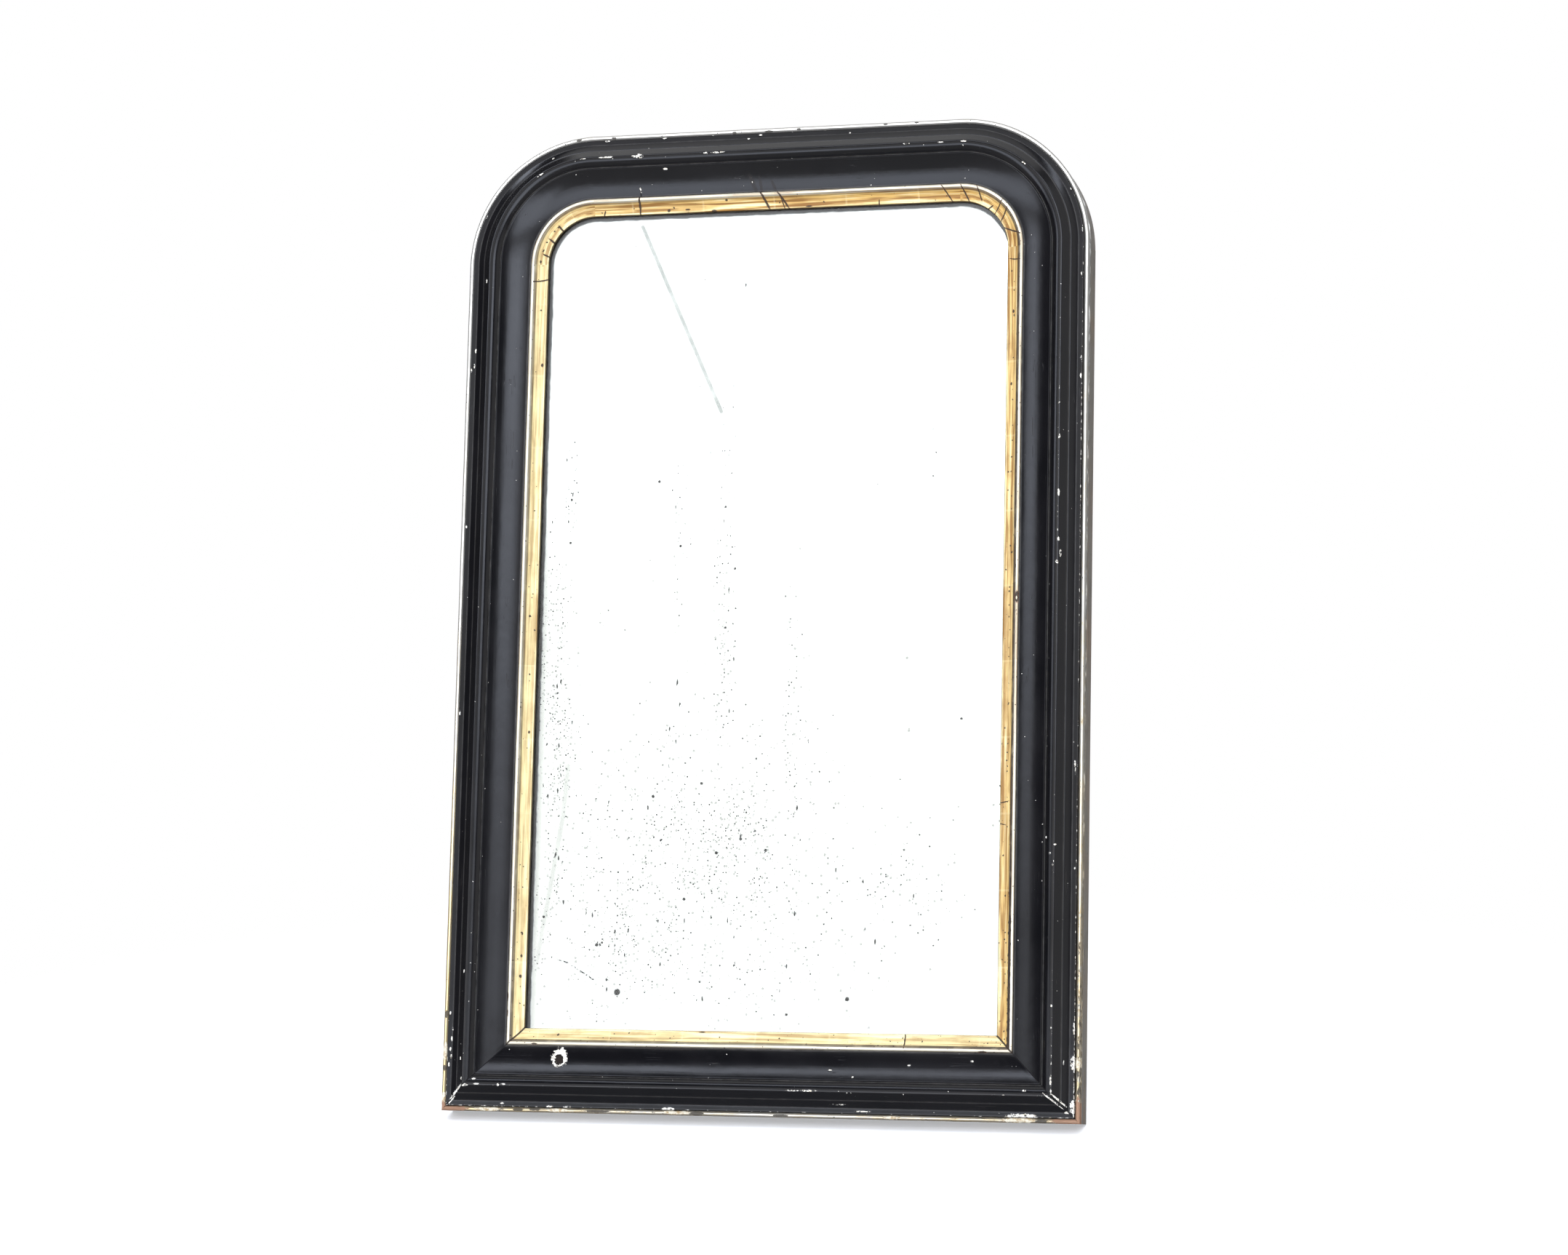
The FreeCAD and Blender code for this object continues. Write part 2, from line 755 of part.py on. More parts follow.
def make_boards(carcass):
    """Three thin upright boards that close the back, nailed to the ledge all round."""
    places = nail_places()
    radius = D["nail_radius"] + D["nail_fit"]
    names = ["backboard_left", "backboard_middle", "backboard_right"]
    for index, name in enumerate(names):
        body = add_body(name)
        sketch = add_sketch(body, "XZ_Plane", BOARD_BACK)
        draw_outline(sketch, board_outline(index))
        pad(body, sketch, D["board_thickness"])
        holes = add_sketch(body, "XZ_Plane", BOARD_BACK)
        draw_circles(holes, [p for _, board, p in places if board == index], radius)
        pocket(body, holes, D["board_thickness"], with_normal=True)
        nodes.append(body)
    depth = D["nail_length"] - D["board_thickness"] + D["nail_fit"]
    for place in ("bottom_rail", "top_rail", "left_stile", "right_stile"):
        holes = add_sketch(carcass[place], "XZ_Plane", D["board_rebate_depth"])
        draw_circles(holes, [p for into, _, p in places if into == place], radius)
        pocket(carcass[place], holes, depth, with_normal=True)
    nails = []
    for k, (_, _, (x, z)) in enumerate(places):
        shank = make_cylinder(
            f"nail_shank_{k}", D["nail_radius"], D["nail_length"], (x, -BOARD_BACK, z), TOWARDS_FRONT
        )
        head = make_cylinder(
            f"nail_head_{k}", D["nail_head_radius"], D["nail_head_thickness"], (x, -BOARD_BACK, z), ALONG_Y
        )
        nail = doc.addObject("Part::Fuse", f"nail_{k}")
        nail.Base = shank
        nail.Tool = head
        nails.append(nail)
    group("backboard_nails", nails)


# Hangers


def barrel_radius():
    """The outer radius of the strap's rolled end."""
    return D["ring_wire_radius"] + D["barrel_fit"] + D["barrel_wall"]


def barrel_back():
    """How far behind the wall plane the ring's axle stands."""
    return barrel_radius() + D["barrel_clearance"]


def screw_places(x):
    """The screws' places (x, z) on one strap."""
    return [(x, D["hanger_height"] - D["screw_first"] - D["screw_pitch"] * k) for k in range(SCREWS)]


def make_strap(word, x):
    """A steel strap with a round foot, two screw holes and an end rolled round the ring's axle."""
    half = D["strap_width"] / 2
    foot = D["hanger_height"] - D["strap_length"]
    strap = add_body(f"hanger_strap_{word}")
    sketch = add_sketch(strap, "XZ_Plane")
    outline = [
        (x - half, D["hanger_height"]),
        (x - half, foot + half),
        (x, foot, half),
        (x + half, foot + half, half),
        (x + half, D["hanger_height"]),
    ]
    draw_outline(sketch, outline)
    pad(strap, sketch, D["strap_thickness"], back=True)
    barrel = add_sketch(strap, "YZ_Plane", x)
    draw_circles(barrel, [(barrel_back(), D["hanger_height"])], barrel_radius())
    pad(strap, barrel, D["strap_width"], both=True)
    bore = add_sketch(strap, "YZ_Plane", x - half)
    draw_circles(bore, [(barrel_back(), D["hanger_height"])], D["ring_wire_radius"] + D["barrel_fit"])
    pocket(strap, bore, D["strap_width"], with_normal=True)
    holes = add_sketch(strap, "XZ_Plane")
    draw_circles(holes, screw_places(x), D["screw_radius"] + D["screw_fit"] * 2)
    pocket(strap, holes, D["strap_thickness"])
    nodes.append(strap)


def make_ring(word, x):
    """A ring of round wire: a straight axle in the strap, two short sides and a half circle."""
    half, bend = D["ring_half_width"], D["ring_bend_radius"]
    top = D["hanger_height"]
    side = top - D["ring_side"]
    ring = add_body(f"hanger_ring_{word}")
    path = add_sketch(ring, "XZ_Plane", -barrel_back())
    outline = [
        (x, top),
        (x - half + bend, top),
        (x - half, top - bend, bend),
        (x - half, side),
        (x, side - half, half),
        (x + half, side, half),
        (x + half, top - bend),
        (x + half - bend, top, bend),
    ]
    draw_outline(path, outline)
    wire = add_sketch(ring, "YZ_Plane", x)
    draw_circles(wire, [(barrel_back(), top)], D["ring_wire_radius"])
    sweep = ring.newObject("PartDesign::AdditivePipe", f"{ring.Name}_sweep")
    sweep.Profile = wire
    sweep.Spine = path
    sweep.SpineTangent = False
    nodes.append(ring)


def make_screws(word, x, carcass):
    """Round-headed slotted screws through the strap, and their holes in the stile."""
    made = []
    back = D["strap_thickness"]
    for k, (_, z) in enumerate(screw_places(x)):
        screw = add_body(f"{word}_screw_{k}")
        section = add_sketch(screw, "YZ_Plane", x)
        side = D["screw_head_height"] - D["screw_head_crown"]
        crown = D["screw_head_crown"]
        radius = D["screw_head_radius"]
        outline = [
            (back - D["screw_length"], z),
            (back, z),
            (back + D["screw_head_height"], z),
            (back + side, z + radius, (radius * radius + crown * crown) / (crown * 2)),
            (back, z + radius),
            (back, z + D["screw_radius"]),
            (back - D["screw_length"], z + D["screw_radius"]),
        ]
        draw_outline(section, outline)
        turn = screw.newObject("PartDesign::Revolution", f"{screw.Name}_turn")
        turn.Profile = section
        turn.ReferenceAxis = (section, ["Edge1"])
        turn.Angle = 360
        doc.recompute()
        slot = add_sketch(screw, "XZ_Plane", -(back + D["screw_head_height"]))
        half = D["screw_slot_width"] / 2
        draw_outline(
            slot,
            [
                (x - radius, z - half),
                (x + radius, z - half),
                (x + radius, z + half),
                (x - radius, z + half),
            ],
        )
        pocket(screw, slot, D["screw_slot_depth"], with_normal=True)
        made.append(screw)
    group(f"hanger_screws_{word}", made)
    stile = carcass[f"{word}_stile"]
    holes = add_sketch(stile, "XZ_Plane")
    draw_circles(holes, screw_places(x), D["screw_radius"] + D["screw_fit"])
    depth = D["screw_length"] - D["strap_thickness"] + D["screw_fit"]
    pocket(stile, holes, depth, with_normal=True)


def make_hangers(carcass):
    """One strap, ring and pair of screws on the back of each stile."""
    for word, side in SIDES.items():
        x = D["hanger_across"] - HALF_WIDTH if side < 0 else HALF_WIDTH - D["hanger_across"]
        make_strap(word, x)
        make_ring(word, x)
        make_screws(word, x, carcass)


def check_and_write():
    """Stops on any failed object or broken shape, then writes one file for each node."""
    doc.recompute()
    failed = [item.Name for item in doc.Objects if {"Invalid", "Error"} & set(item.State)]
    if failed:
        raise RuntimeError(f"failed objects: {failed}")
    for node in nodes:
        if node.Shape.isNull() or not node.Shape.isValid() or not node.Shape.Solids:
            raise RuntimeError(f"{node.Label} has no valid solid")
    os.makedirs("parts", exist_ok=True)
    for node in nodes:
        node.Shape.exportStep(f"parts/{node.Label}.step")
    print(f"{len(nodes)} nodes written")


def main():
    carcass = make_layer("carcass", carcass_section())
    make_layer("bead", bead_section())
    make_layer("moulding", moulding_section())
    make_layer("slip", slip_section())
    bore_dowels(carcass)
    make_dowels()
    make_mitre_keys(carcass)
    make_plate("mirror_glass", GLASS_EDGE, GLASS_BACK, D["glass_thickness"])
    make_plate("mirror_silvering", GLASS_EDGE, SILVER_BACK, D["silver_thickness"])
    make_shims()
    make_blocks()
    make_boards(carcass)
    make_hangers(carcass)
    check_and_write()


main()
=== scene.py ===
"""Wall mirror with round upper corners: ebonised moulding, gilt slip, silvered outer bead and old plate glass.

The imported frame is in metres. Sections, marks and places along the frame are written in millimetres, in the
frame maker's own terms: along a length of moulding, across it from the outer side, and up from the wall.
"""

import logging
import math
from dataclasses import dataclass, field, replace
from enum import Enum
from functools import cached_property, partial, reduce
from typing import Sequence

import bmesh
import bpy
import numpy as np
from mathutils import Matrix, Vector


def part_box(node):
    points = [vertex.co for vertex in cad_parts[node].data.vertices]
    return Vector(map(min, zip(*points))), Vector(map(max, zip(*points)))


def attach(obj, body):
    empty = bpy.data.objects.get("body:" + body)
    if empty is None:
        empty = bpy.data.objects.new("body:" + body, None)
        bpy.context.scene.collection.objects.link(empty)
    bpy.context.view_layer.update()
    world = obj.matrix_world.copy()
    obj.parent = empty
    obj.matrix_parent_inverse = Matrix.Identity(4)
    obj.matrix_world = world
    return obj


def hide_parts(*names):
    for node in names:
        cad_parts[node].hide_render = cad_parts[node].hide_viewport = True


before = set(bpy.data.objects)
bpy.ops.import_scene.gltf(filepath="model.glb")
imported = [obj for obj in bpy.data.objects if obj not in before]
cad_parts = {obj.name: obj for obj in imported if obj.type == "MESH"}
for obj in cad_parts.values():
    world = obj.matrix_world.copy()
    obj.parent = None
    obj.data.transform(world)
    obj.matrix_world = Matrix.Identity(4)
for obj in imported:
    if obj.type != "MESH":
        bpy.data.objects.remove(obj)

LOG = logging.getLogger("mirror")
MM = 0.001
BODY = "frame"
RUN_MAP = "run"
ZERO = (0.0, 0.0, 0.0)
RELIEF_GRID = (257, 67)
RELIEF_LEAD = (4000.0, 400.0)
Colour = tuple[float, float, float]
Row = tuple[float, ...]
Socket = bpy.types.NodeSocket
Material = bpy.types.Material
Coat = dict[str, object]


# Where things are


class Run(Enum):
    """The six lengths that every layer of the frame is made of."""

    LEFT_STILE = "left_stile"
    RIGHT_STILE = "right_stile"
    TOP_RAIL = "top_rail"
    BOTTOM_RAIL = "bottom_rail"
    LEFT_CORNER = "left_corner"
    RIGHT_CORNER = "right_corner"

    @property
    def is_corner(self) -> bool:
        """Whether the length is a quarter-round block."""
        return self in (LC, RC)

    @property
    def is_stile(self) -> bool:
        """Whether the length stands at the left or the right."""
        return self in (LS, RS)

    @property
    def mitred(self) -> tuple[bool, bool]:
        """Whether the start and the end of the length are mitred."""
        return self is BR or self.is_stile, self is BR


LS, RS, TR, BR, LC, RC = Run
Drift = dict[Run, tuple[Row, ...]]


@dataclass(frozen=True)
class Layout:
    """The frame's outline, in millimetres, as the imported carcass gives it."""

    half_width: float
    height: float
    corner_x: float
    corner_z: float

    @classmethod
    def from_frame(cls) -> "Layout":
        """Reads the outline from the right corner block."""
        low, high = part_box("carcass_right_corner")
        return cls(high.x / MM, high.z / MM, low.x / MM, low.z / MM)

    @property
    def radius(self) -> float:
        """The outer radius of the round corners."""
        return self.height - self.corner_z

    def span(self, run: Run) -> tuple[float, float]:
        """Where a length starts and ends, measured on its outer side."""
        rails = {TR: (-self.corner_x, self.corner_x), BR: (-self.half_width, self.half_width)}
        return rails.get(run, (0.0, self.radius * math.pi / 2 if run.is_corner else self.corner_z))

    def place(self, run: Run, along: np.ndarray, across: np.ndarray, up: np.ndarray) -> np.ndarray:
        """Turns places on a length into points of the frame.

        Args:
            run: the length.
            along: millimetres along it.
            across: millimetres inwards from its outer side.
            up: millimetres forwards from the wall.

        Returns:
            One point a row, in metres.
        """
        side = -1.0 if run in (LS, LC) else 1.0
        x, z = along, across
        if run.is_corner:
            angle, reach = along / self.radius, self.radius - across
            x, z = side * (self.corner_x + reach * np.cos(angle)), self.corner_z + reach * np.sin(angle)
        elif run.is_stile:
            x, z = side * (self.half_width - across), along
        elif run is TR:
            z = self.height - across
        return np.stack([x, -up, z], axis=-1).reshape(-1, 3) * MM


def outward(line: np.ndarray) -> np.ndarray:
    """The outward direction at each point of a closed anticlockwise line."""
    way = np.roll(line, -1, axis=0) - np.roll(line, 1, axis=0)
    length = np.maximum(np.linalg.norm(way, axis=1, keepdims=True), 1e-9)
    return np.stack([way[:, 1], -way[:, 0]], axis=1) / length


def smooth_step(low: float, high: float, value: np.ndarray) -> np.ndarray:
    """0 below low, 1 above high, with an even slope at both."""
    t = np.clip((value - low) / (high - low), 0.0, 1.0)
    return t * t * (3 - 2 * t)


# Sections


@dataclass(frozen=True)
class Corner:
    """A corner of a section. The line to the next corner stands out by sag, or is hollow below 0."""

    across: float
    up: float
    sag: float = 0.0
    ease: float = 0.3


@dataclass(frozen=True)
class Ridge:
    """A line along the moulding that hands and dusters wear, or that dirt gathers in."""

    across: float
    half_width: float
    strength: float = 1.0

    def near(self, across: np.ndarray) -> np.ndarray:
        """How strongly the line is felt at places across the moulding."""
        return np.exp(-(((across - self.across) / self.half_width) ** 2)) * self.strength


@dataclass
class Outline:
    """A section as closely spaced points, anticlockwise, with what each point needs."""

    across: np.ndarray
    up: np.ndarray
    out: np.ndarray
    girth: np.ndarray
    edge: np.ndarray
    hollow: np.ndarray


@dataclass(frozen=True)
class Section:
    """A closed section of moulding, in rows of Corner and Ridge values, and how finely it is divided."""

    corners: tuple[Row, ...]
    ridges: tuple[Row, ...] = ()
    hollows: tuple[Row, ...] = ()
    foot: float = 28.0
    arris_wear: float = 0.6
    quirk_dirt: float = 0.6
    pitch: float = 0.8
    hidden_pitch: float = 9.0

    def outline(self) -> Outline:
        """Rounds the corners and divides the section into points.

        Returns:
            The points with their outward directions, distance round the section, and wear and dirt.
        """
        corners = [Corner(*row) for row in self.corners]
        points: list[np.ndarray] = []
        for i, here in enumerate(corners):
            start = self._side(corners[i - 1], here)[-1]
            side = self._side(here, corners[(i + 1) % len(corners)])
            tip = np.array([here.across, here.up])
            for t in (0.25, 0.5, 0.75):
                points.append(start * (1 - t) ** 2 + tip * 2 * t * (1 - t) + side[0] * t * t)
            points += side
        line = np.array(points)
        step_in, step_out = line - np.roll(line, 1, axis=0), np.roll(line, -1, axis=0) - line
        cross = step_in[:, 0] * step_out[:, 1] - step_in[:, 1] * step_out[:, 0]
        turn = np.arctan2(cross, (step_in * step_out).sum(axis=1))
        length = (np.linalg.norm(step_in, axis=1) + np.linalg.norm(step_out, axis=1)) / 2
        bend = turn / np.maximum(length, 0.05)
        edge = self._worn(line, bend * self.arris_wear, self.ridges)
        hollow = self._worn(line, -bend * self.quirk_dirt, self.hollows)
        girth = np.concatenate([[0.0], np.cumsum(np.linalg.norm(step_out, axis=1))[:-1]])
        return Outline(line[:, 0], line[:, 1], outward(line), girth, edge, hollow)

    def _worn(self, line: np.ndarray, bend: np.ndarray, rows: tuple[Row, ...]) -> np.ndarray:
        """Wear or dirt at each point: by how sharply the section turns there, and by its named lines.

        Args:
            line: the section's points.
            bend: how sharply it turns.
            rows: the named lines.

        Returns:
            Values from 0 to 1.
        """
        value = np.clip(bend, 0, 1)
        value = np.maximum(value, 0.5 * np.maximum(np.roll(value, 1), np.roll(value, -1)))
        for row in rows:
            value = np.maximum(value, Ridge(*row).near(line[:, 0]) * (line[:, 1] > self.foot + 0.6))
        return value

    def _side(self, start: Corner, end: Corner) -> list[np.ndarray]:
        """Divides one side, short of the rounded corners.

        Args:
            start: the corner it leaves.
            end: the corner it reaches.

        Returns:
            Points as (across, up).
        """
        a, b = np.array([start.across, start.up]), np.array([end.across, end.up])
        chord = b - a
        length = float(np.linalg.norm(chord))
        out = np.array([chord[1], -chord[0]]) / length
        first = min(start.ease, length * 0.4) / length
        last = 1.0 - min(end.ease, length * 0.4) / length
        hidden = max(start.up, end.up) <= self.foot + 0.01 or start.across == end.across
        pitch = self.hidden_pitch if hidden else self.pitch
        steps = max(2 if start.sag else 1, round(length * (last - first) / pitch))
        return [a + chord * t + out * start.sag * 4 * t * (1 - t) for t in np.linspace(first, last, steps + 1)]


MOULDING = Section(
    corners=(
        (5.6, 28.0), (71.6, 28.0), (71.6, 39.0, -1.5, 0.5), (40.3, 49.5, 0.0, 0.4), (38.9, 47.7, 1.42, 0.4),
        (29.3, 53.0, 0.13), (26.9, 52.5, 0.0, 0.7), (19.4, 45.5, 0.0, 0.4), (18.3, 45.2, -0.2),
        (11.3, 41.2, 0.0, 0.4), (6.6, 41.2, 0.29), (5.6, 40.2),
    ),
    ridges=((28.6, 0.9, 0.8), (6.3, 0.8, 0.9), (18.9, 0.5, 0.3)),
    hollows=((38.9, 0.7), (19.6, 0.5, 0.6), (11.4, 0.6, 0.6), (71.2, 0.8)),
    arris_wear=0.06,
)
SLIP = Section(
    corners=(
        (71.6, 28.03), (90.2, 28.03), (90.2, 31.8, 0.5), (88.2, 32.8, -1.3), (77.4, 37.8, 0.0, 0.2),
        (76.6, 38.2, 1.7, 0.2), (71.6, 38.2, 0.0, 0.2),
    ),
    ridges=((89.6, 0.6, 0.7), (74.1, 1.0, 0.3)),
    hollows=((77.1, 0.75), (71.7, 0.6)),
    pitch=0.55,
)
BEAD = Section(
    corners=((0.0, 28.0), (5.6, 28.0), (5.6, 37.9, 1.9, 0.2), (0.0, 37.9, 0.0, 0.2)),
    ridges=((0.6, 0.7, 0.6),),
    hollows=((5.6, 0.5),),
    pitch=0.5,
    hidden_pitch=1.6,
)
CARCASS = Section(
    corners=(
        (0.0, 0.0, 0.0, 0.9), (69.0, 0.0, 0.0, 0.5), (69.0, 7.0, 0.0, 0.2), (79.0, 7.0, 0.0, 0.4),
        (79.0, 28.0, 0.0, 0.2), (0.0, 28.0),
    ),
    foot=-1.0,
    pitch=6.0,
    hidden_pitch=6.0,
)


# Wear


class Kind(Enum):
    """What a mark on the frame is, and the vertex attribute that carries it."""

    CHIP = "chip"
    CRACK = "crack"
    SMUDGE = "smudge"
    BARE = "bare"
    HOLE = "hole"


CHIP, CRACK, SMUDGE, BARE, HOLE = Kind


@dataclass(frozen=True)
class Mark:
    """One mark of age at its real place: half sizes, depth in the surface, and its turn in degrees."""

    run: Run
    kind: Kind
    along: float
    across: float
    half_length: float
    half_width: float
    depth: float = 0.35
    turn: float = 0.0

    @property
    def reach(self) -> float:
        """How far it spreads along the length, each way."""
        angle = math.radians(self.turn)
        return abs(self.half_length * math.cos(angle)) + abs(self.half_width * math.sin(angle))

    def felt(self, along: np.ndarray, across: np.ndarray, shrink: np.ndarray) -> np.ndarray:
        """How strongly the mark is felt.

        Args:
            along: places along the length.
            across: places across it.
            shrink: real length over nominal length at each place, under 1 on a round corner.

        Returns:
            1 at the middle, 0.5 on its border, 0 at twice its size.
        """
        angle = math.radians(self.turn)
        p, q = (along - self.along) * shrink, across - self.across
        long_way = (p * math.cos(angle) + q * math.sin(angle)) / self.half_length
        short_way = (q * math.cos(angle) - p * math.sin(angle)) / self.half_width
        return np.clip(1.0 - 0.5 * np.hypot(long_way, short_way), 0.0, 1.0)


def spots(run: Run, kind: Kind, *rows: Row) -> list[Mark]:
    """Marks in rows of along, across, half length, half width, and where it is given depth and turn."""
    return [Mark(run, kind, *row) for row in rows]


def lines(run: Run, kind: Kind, *rows: Row) -> list[Mark]:
    """Long marks from one place to another.

    Args:
        run: the length that they are on.
        kind: what they are.
        rows: along and across at one end, the same at the other end, half width at the middle, and depth.

    Returns:
        The marks.
    """
    marks = []
    for a, b, c, d, half_width, depth in rows:
        half, turn = math.hypot(c - a, d - b) / 2, math.degrees(math.atan2(d - b, c - a))
        marks.append(Mark(run, kind, (a + c) / 2, (b + d) / 2, half * 1.15, half_width, depth, turn))
    return marks


MOULDING_MARKS = [
    *spots(
        TR, CHIP,
        (-151.7, 28.6, 4.6, 2.6, 0.5), (-158, 28.7, 2.4, 1.2), (-190, 28.4, 8.6, 1.0), (-62, 28.6, 7.5, 0.9),
        (-76, 28.5, 2.2, 0.9), (150, 28.7, 3.4, 0.8), (188, 28.7, 3.0, 0.8), (-123, 43.4, 2.6, 1.1),
        (-193, 7.0, 3.0, 0.9), (-126.5, 6.7, 2.4, 0.8), (-30, 11.8, 1.6, 0.8), (-16.7, 8.0, 2.0, 0.8),
        (84, 10.4, 1.8, 0.8), (-152.8, 63.4, 1.6, 0.9, 0.3, 84), (-152.4, 66.6, 1.1, 0.7, 0.25, 60),
        (-24.8, 61.0, 1.2, 0.5, 0.15, 70),
    ),
    *lines(TR, CRACK, (-152.8, 67.0, -152.2, 71.6, 0.7, 0.3)),
    *lines(
        TR, SMUDGE,
        (-28, 54, -20, 71, 2.4, 0.05), (-16.4, 57, -14.4, 71, 1.8, 0.05), (-3, 60, 2, 71, 1.6, 0.05),
    ),
    *spots(LC, CHIP, (212, 28.6, 3.2, 0.7), (146.8, 28.6, 4.0, 0.8), (170, 15, 1.6, 0.5), (60, 6.8, 2.4, 0.8)),
    *spots(RC, CHIP, (215.6, 28.6, 3.0, 0.9), (124.7, 29.6, 2.4, 0.9), (15, 6.6, 2.4, 0.6), (64, 7.0, 1.8, 0.5)),
    *spots(
        LS, CHIP,
        (915, 24.0, 2.0, 0.9), (838, 11.0, 2.4, 0.9), (821, 10.0, 2.4, 0.8), (816, 6.6, 2.4, 0.8),
        (640, 7.0, 2.0, 0.8), (433, 6.8, 2.6, 0.8), (150, 25.3, 2.0, 0.8), (105, 8.0, 2.0, 0.8),
        (88, 11.4, 2.0, 0.7), (77, 10.6, 3.0, 0.9), (66, 9.2, 2.2, 1.0), (58, 10.6, 2.6, 1.1),
        (50, 8.2, 2.2, 0.9), (56.3, 24.2, 1.9, 1.0), (35, 26.4, 1.6, 0.9),
    ),
    *lines(LS, CHIP, (27.0, 25.4, 13.0, 11.6, 1.7, 0.45)),
    *spots(
        RS, CHIP,
        (901, 8.0, 2.2, 0.6), (809, 7.2, 2.6, 0.8), (790, 7.3, 3.0, 0.9), (722, 27.6, 2.4, 1.0),
        (662, 27.8, 3.4, 1.0), (612, 27.6, 2.6, 1.0), (597, 25.4, 4.0, 0.9), (588, 28.8, 2.0, 1.3),
        (375, 9.0, 3.2, 0.9), (367, 8.4, 4.2, 0.6), (297, 37.2, 1.4, 0.8), (289, 27.4, 0.9, 1.3),
        (280, 32.6, 1.1, 0.8), (268, 29.4, 1.4, 0.7), (265, 8.0, 1.3, 0.7), (121, 29.0, 1.8, 0.9),
        (98.5, 29.0, 1.4, 0.7), (98.9, 7.0, 6.0, 0.9), (62.9, 7.6, 7.0, 2.6, 0.5), (62.6, 16.7, 2.4, 0.7),
        (46, 29.0, 1.9, 0.9), (42, 28.9, 2.2, 1.1), (33, 28.4, 1.6, 0.9), (17.5, 7.8, 7.0, 2.4, 0.5),
    ),
    *lines(RS, CHIP, (30.2, 27.7, 17.6, 13.6, 0.9, 0.4)),
    *spots(BR, HOLE, (-216.6, 57.4, 5.2, 6.2, 1.6)),
    *spots(
        BR, CHIP,
        (-216, 59.0, 8.4, 9.6, 0.5), (-320.5, 28.2, 4.4, 1.5, 0.45), (-305.5, 29.2, 3.2, 0.8),
        (-309.3, 34.6, 2.2, 0.9), (-275.2, 29.4, 3.0, 0.8), (-281.2, 28.8, 1.4, 1.5), (-279.7, 9.2, 2.4, 1.0),
        (-226.5, 6.8, 3.6, 1.0), (-205.4, 6.6, 4.8, 0.9), (-93.7, 6.9, 7.5, 1.5), (84.1, 50.9, 2.2, 0.8),
        (108.8, 44.2, 1.6, 0.7), (168.9, 57.5, 1.7, 0.7), (45, 28.8, 8.0, 0.7), (63, 28.9, 8.6, 1.0),
        (93.5, 15.0, 10.0, 0.6), (119, 8.4, 9.5, 0.7), (235.3, 62.8, 1.8, 0.9), (293.1, 33.3, 2.2, 0.9),
        (289, 7.2, 16.0, 2.3), (336.5, 11.5, 3.2, 1.2),
    ),
    *lines(BR, CHIP, (314.7, 30.0, 331.4, 16.7, 0.9, 0.4), (-334.0, 15.4, -343.6, 6.2, 1.5, 0.45)),
    *lines(BR, SMUDGE, (-122, 70.6, -60, 70.6, 1.4, 0.02)),
]
SLIP_MARKS = [
    *lines(
        TR, CRACK,
        (-195, 84.5, -196.4, 90.6, 0.8, 0.3), (-154.4, 71.5, -154.6, 90.6, 1.15, 0.4),
        (-16, 71.6, -6, 90.6, 1.25, 0.4), (3, 71.6, 16, 90.6, 1.0, 0.4), (7, 80, 11, 90.6, 0.6, 0.3),
        (116.7, 85, 116.8, 90.6, 0.6, 0.3), (186.9, 72.7, 198.8, 90.6, 0.7, 0.3),
    ),
    *spots(
        TR, SMUDGE,
        (-55, 78.7, 1.4, 1.0), (-69.7, 89.4, 2.6, 1.4), (-121.8, 87, 1.7, 1.6), (-100, 86.6, 2.8, 0.9),
        (38, 88.5, 3.2, 0.9),
    ),
    *lines(
        LC, CRACK,
        (115, 82.5, 114.4, 91, 1.0, 0.35), (71.8, 83, 70.2, 91, 1.0, 0.35), (27, 83, 25, 91, 0.9, 0.35),
    ),
    *spots(LC, SMUDGE, (8, 81.5, 1.6, 0.9)),
    *lines(LS, CRACK, (915, 75, 918.2, 90.8, 0.9, 0.35)),
    *spots(
        LS, SMUDGE,
        (821, 86.6, 2.0, 1.3), (168, 84.4, 1.7, 1.0), (192, 84.6, 1.5, 0.8), (146, 84, 1.8, 1.3),
        (106, 72.6, 3.4, 0.9), (124, 72.4, 4.5, 0.7), (412, 85, 1.5, 1.2), (540, 82, 1.2, 0.9),
    ),
    *lines(
        RC, CRACK,
        (216, 73.7, 205.5, 90.6, 0.8, 0.3), (179.4, 73, 170, 86, 0.7, 0.3),
        (131.4, 84.4, 133.5, 90.6, 0.8, 0.3),
        (116.5, 73.5, 113.4, 89.5, 0.6, 0.3), (94, 75, 86.6, 90.6, 0.7, 0.3),
        (35.7, 74.7, 48.8, 90, 0.8, 0.3),
    ),
    *lines(
        RS, CRACK,
        (920, 75.5, 922, 88, 0.7, 0.3), (311, 84, 312.5, 90.6, 0.5, 0.2), (336, 81, 334, 90.6, 0.6, 0.2),
    ),
    *spots(RS, SMUDGE, (863.7, 82.7, 1.8, 1.1), (784.7, 84, 1.6, 1.0)),
    *spots(RS, CRACK, (553, 74, 5.6, 2.0, 0.6)),
    *spots(RS, CHIP, (552, 74.2, 2.0, 1.0, 0.6)),
    *lines(BR, CRACK, (161.6, 76, 162.2, 90.6, 0.8, 0.35)),
    *spots(BR, SMUDGE, (246, 72.6, 4.0, 1.0), (-246, 73.4, 3.2, 0.9), (-60, 88.8, 3.4, 0.7)),
]
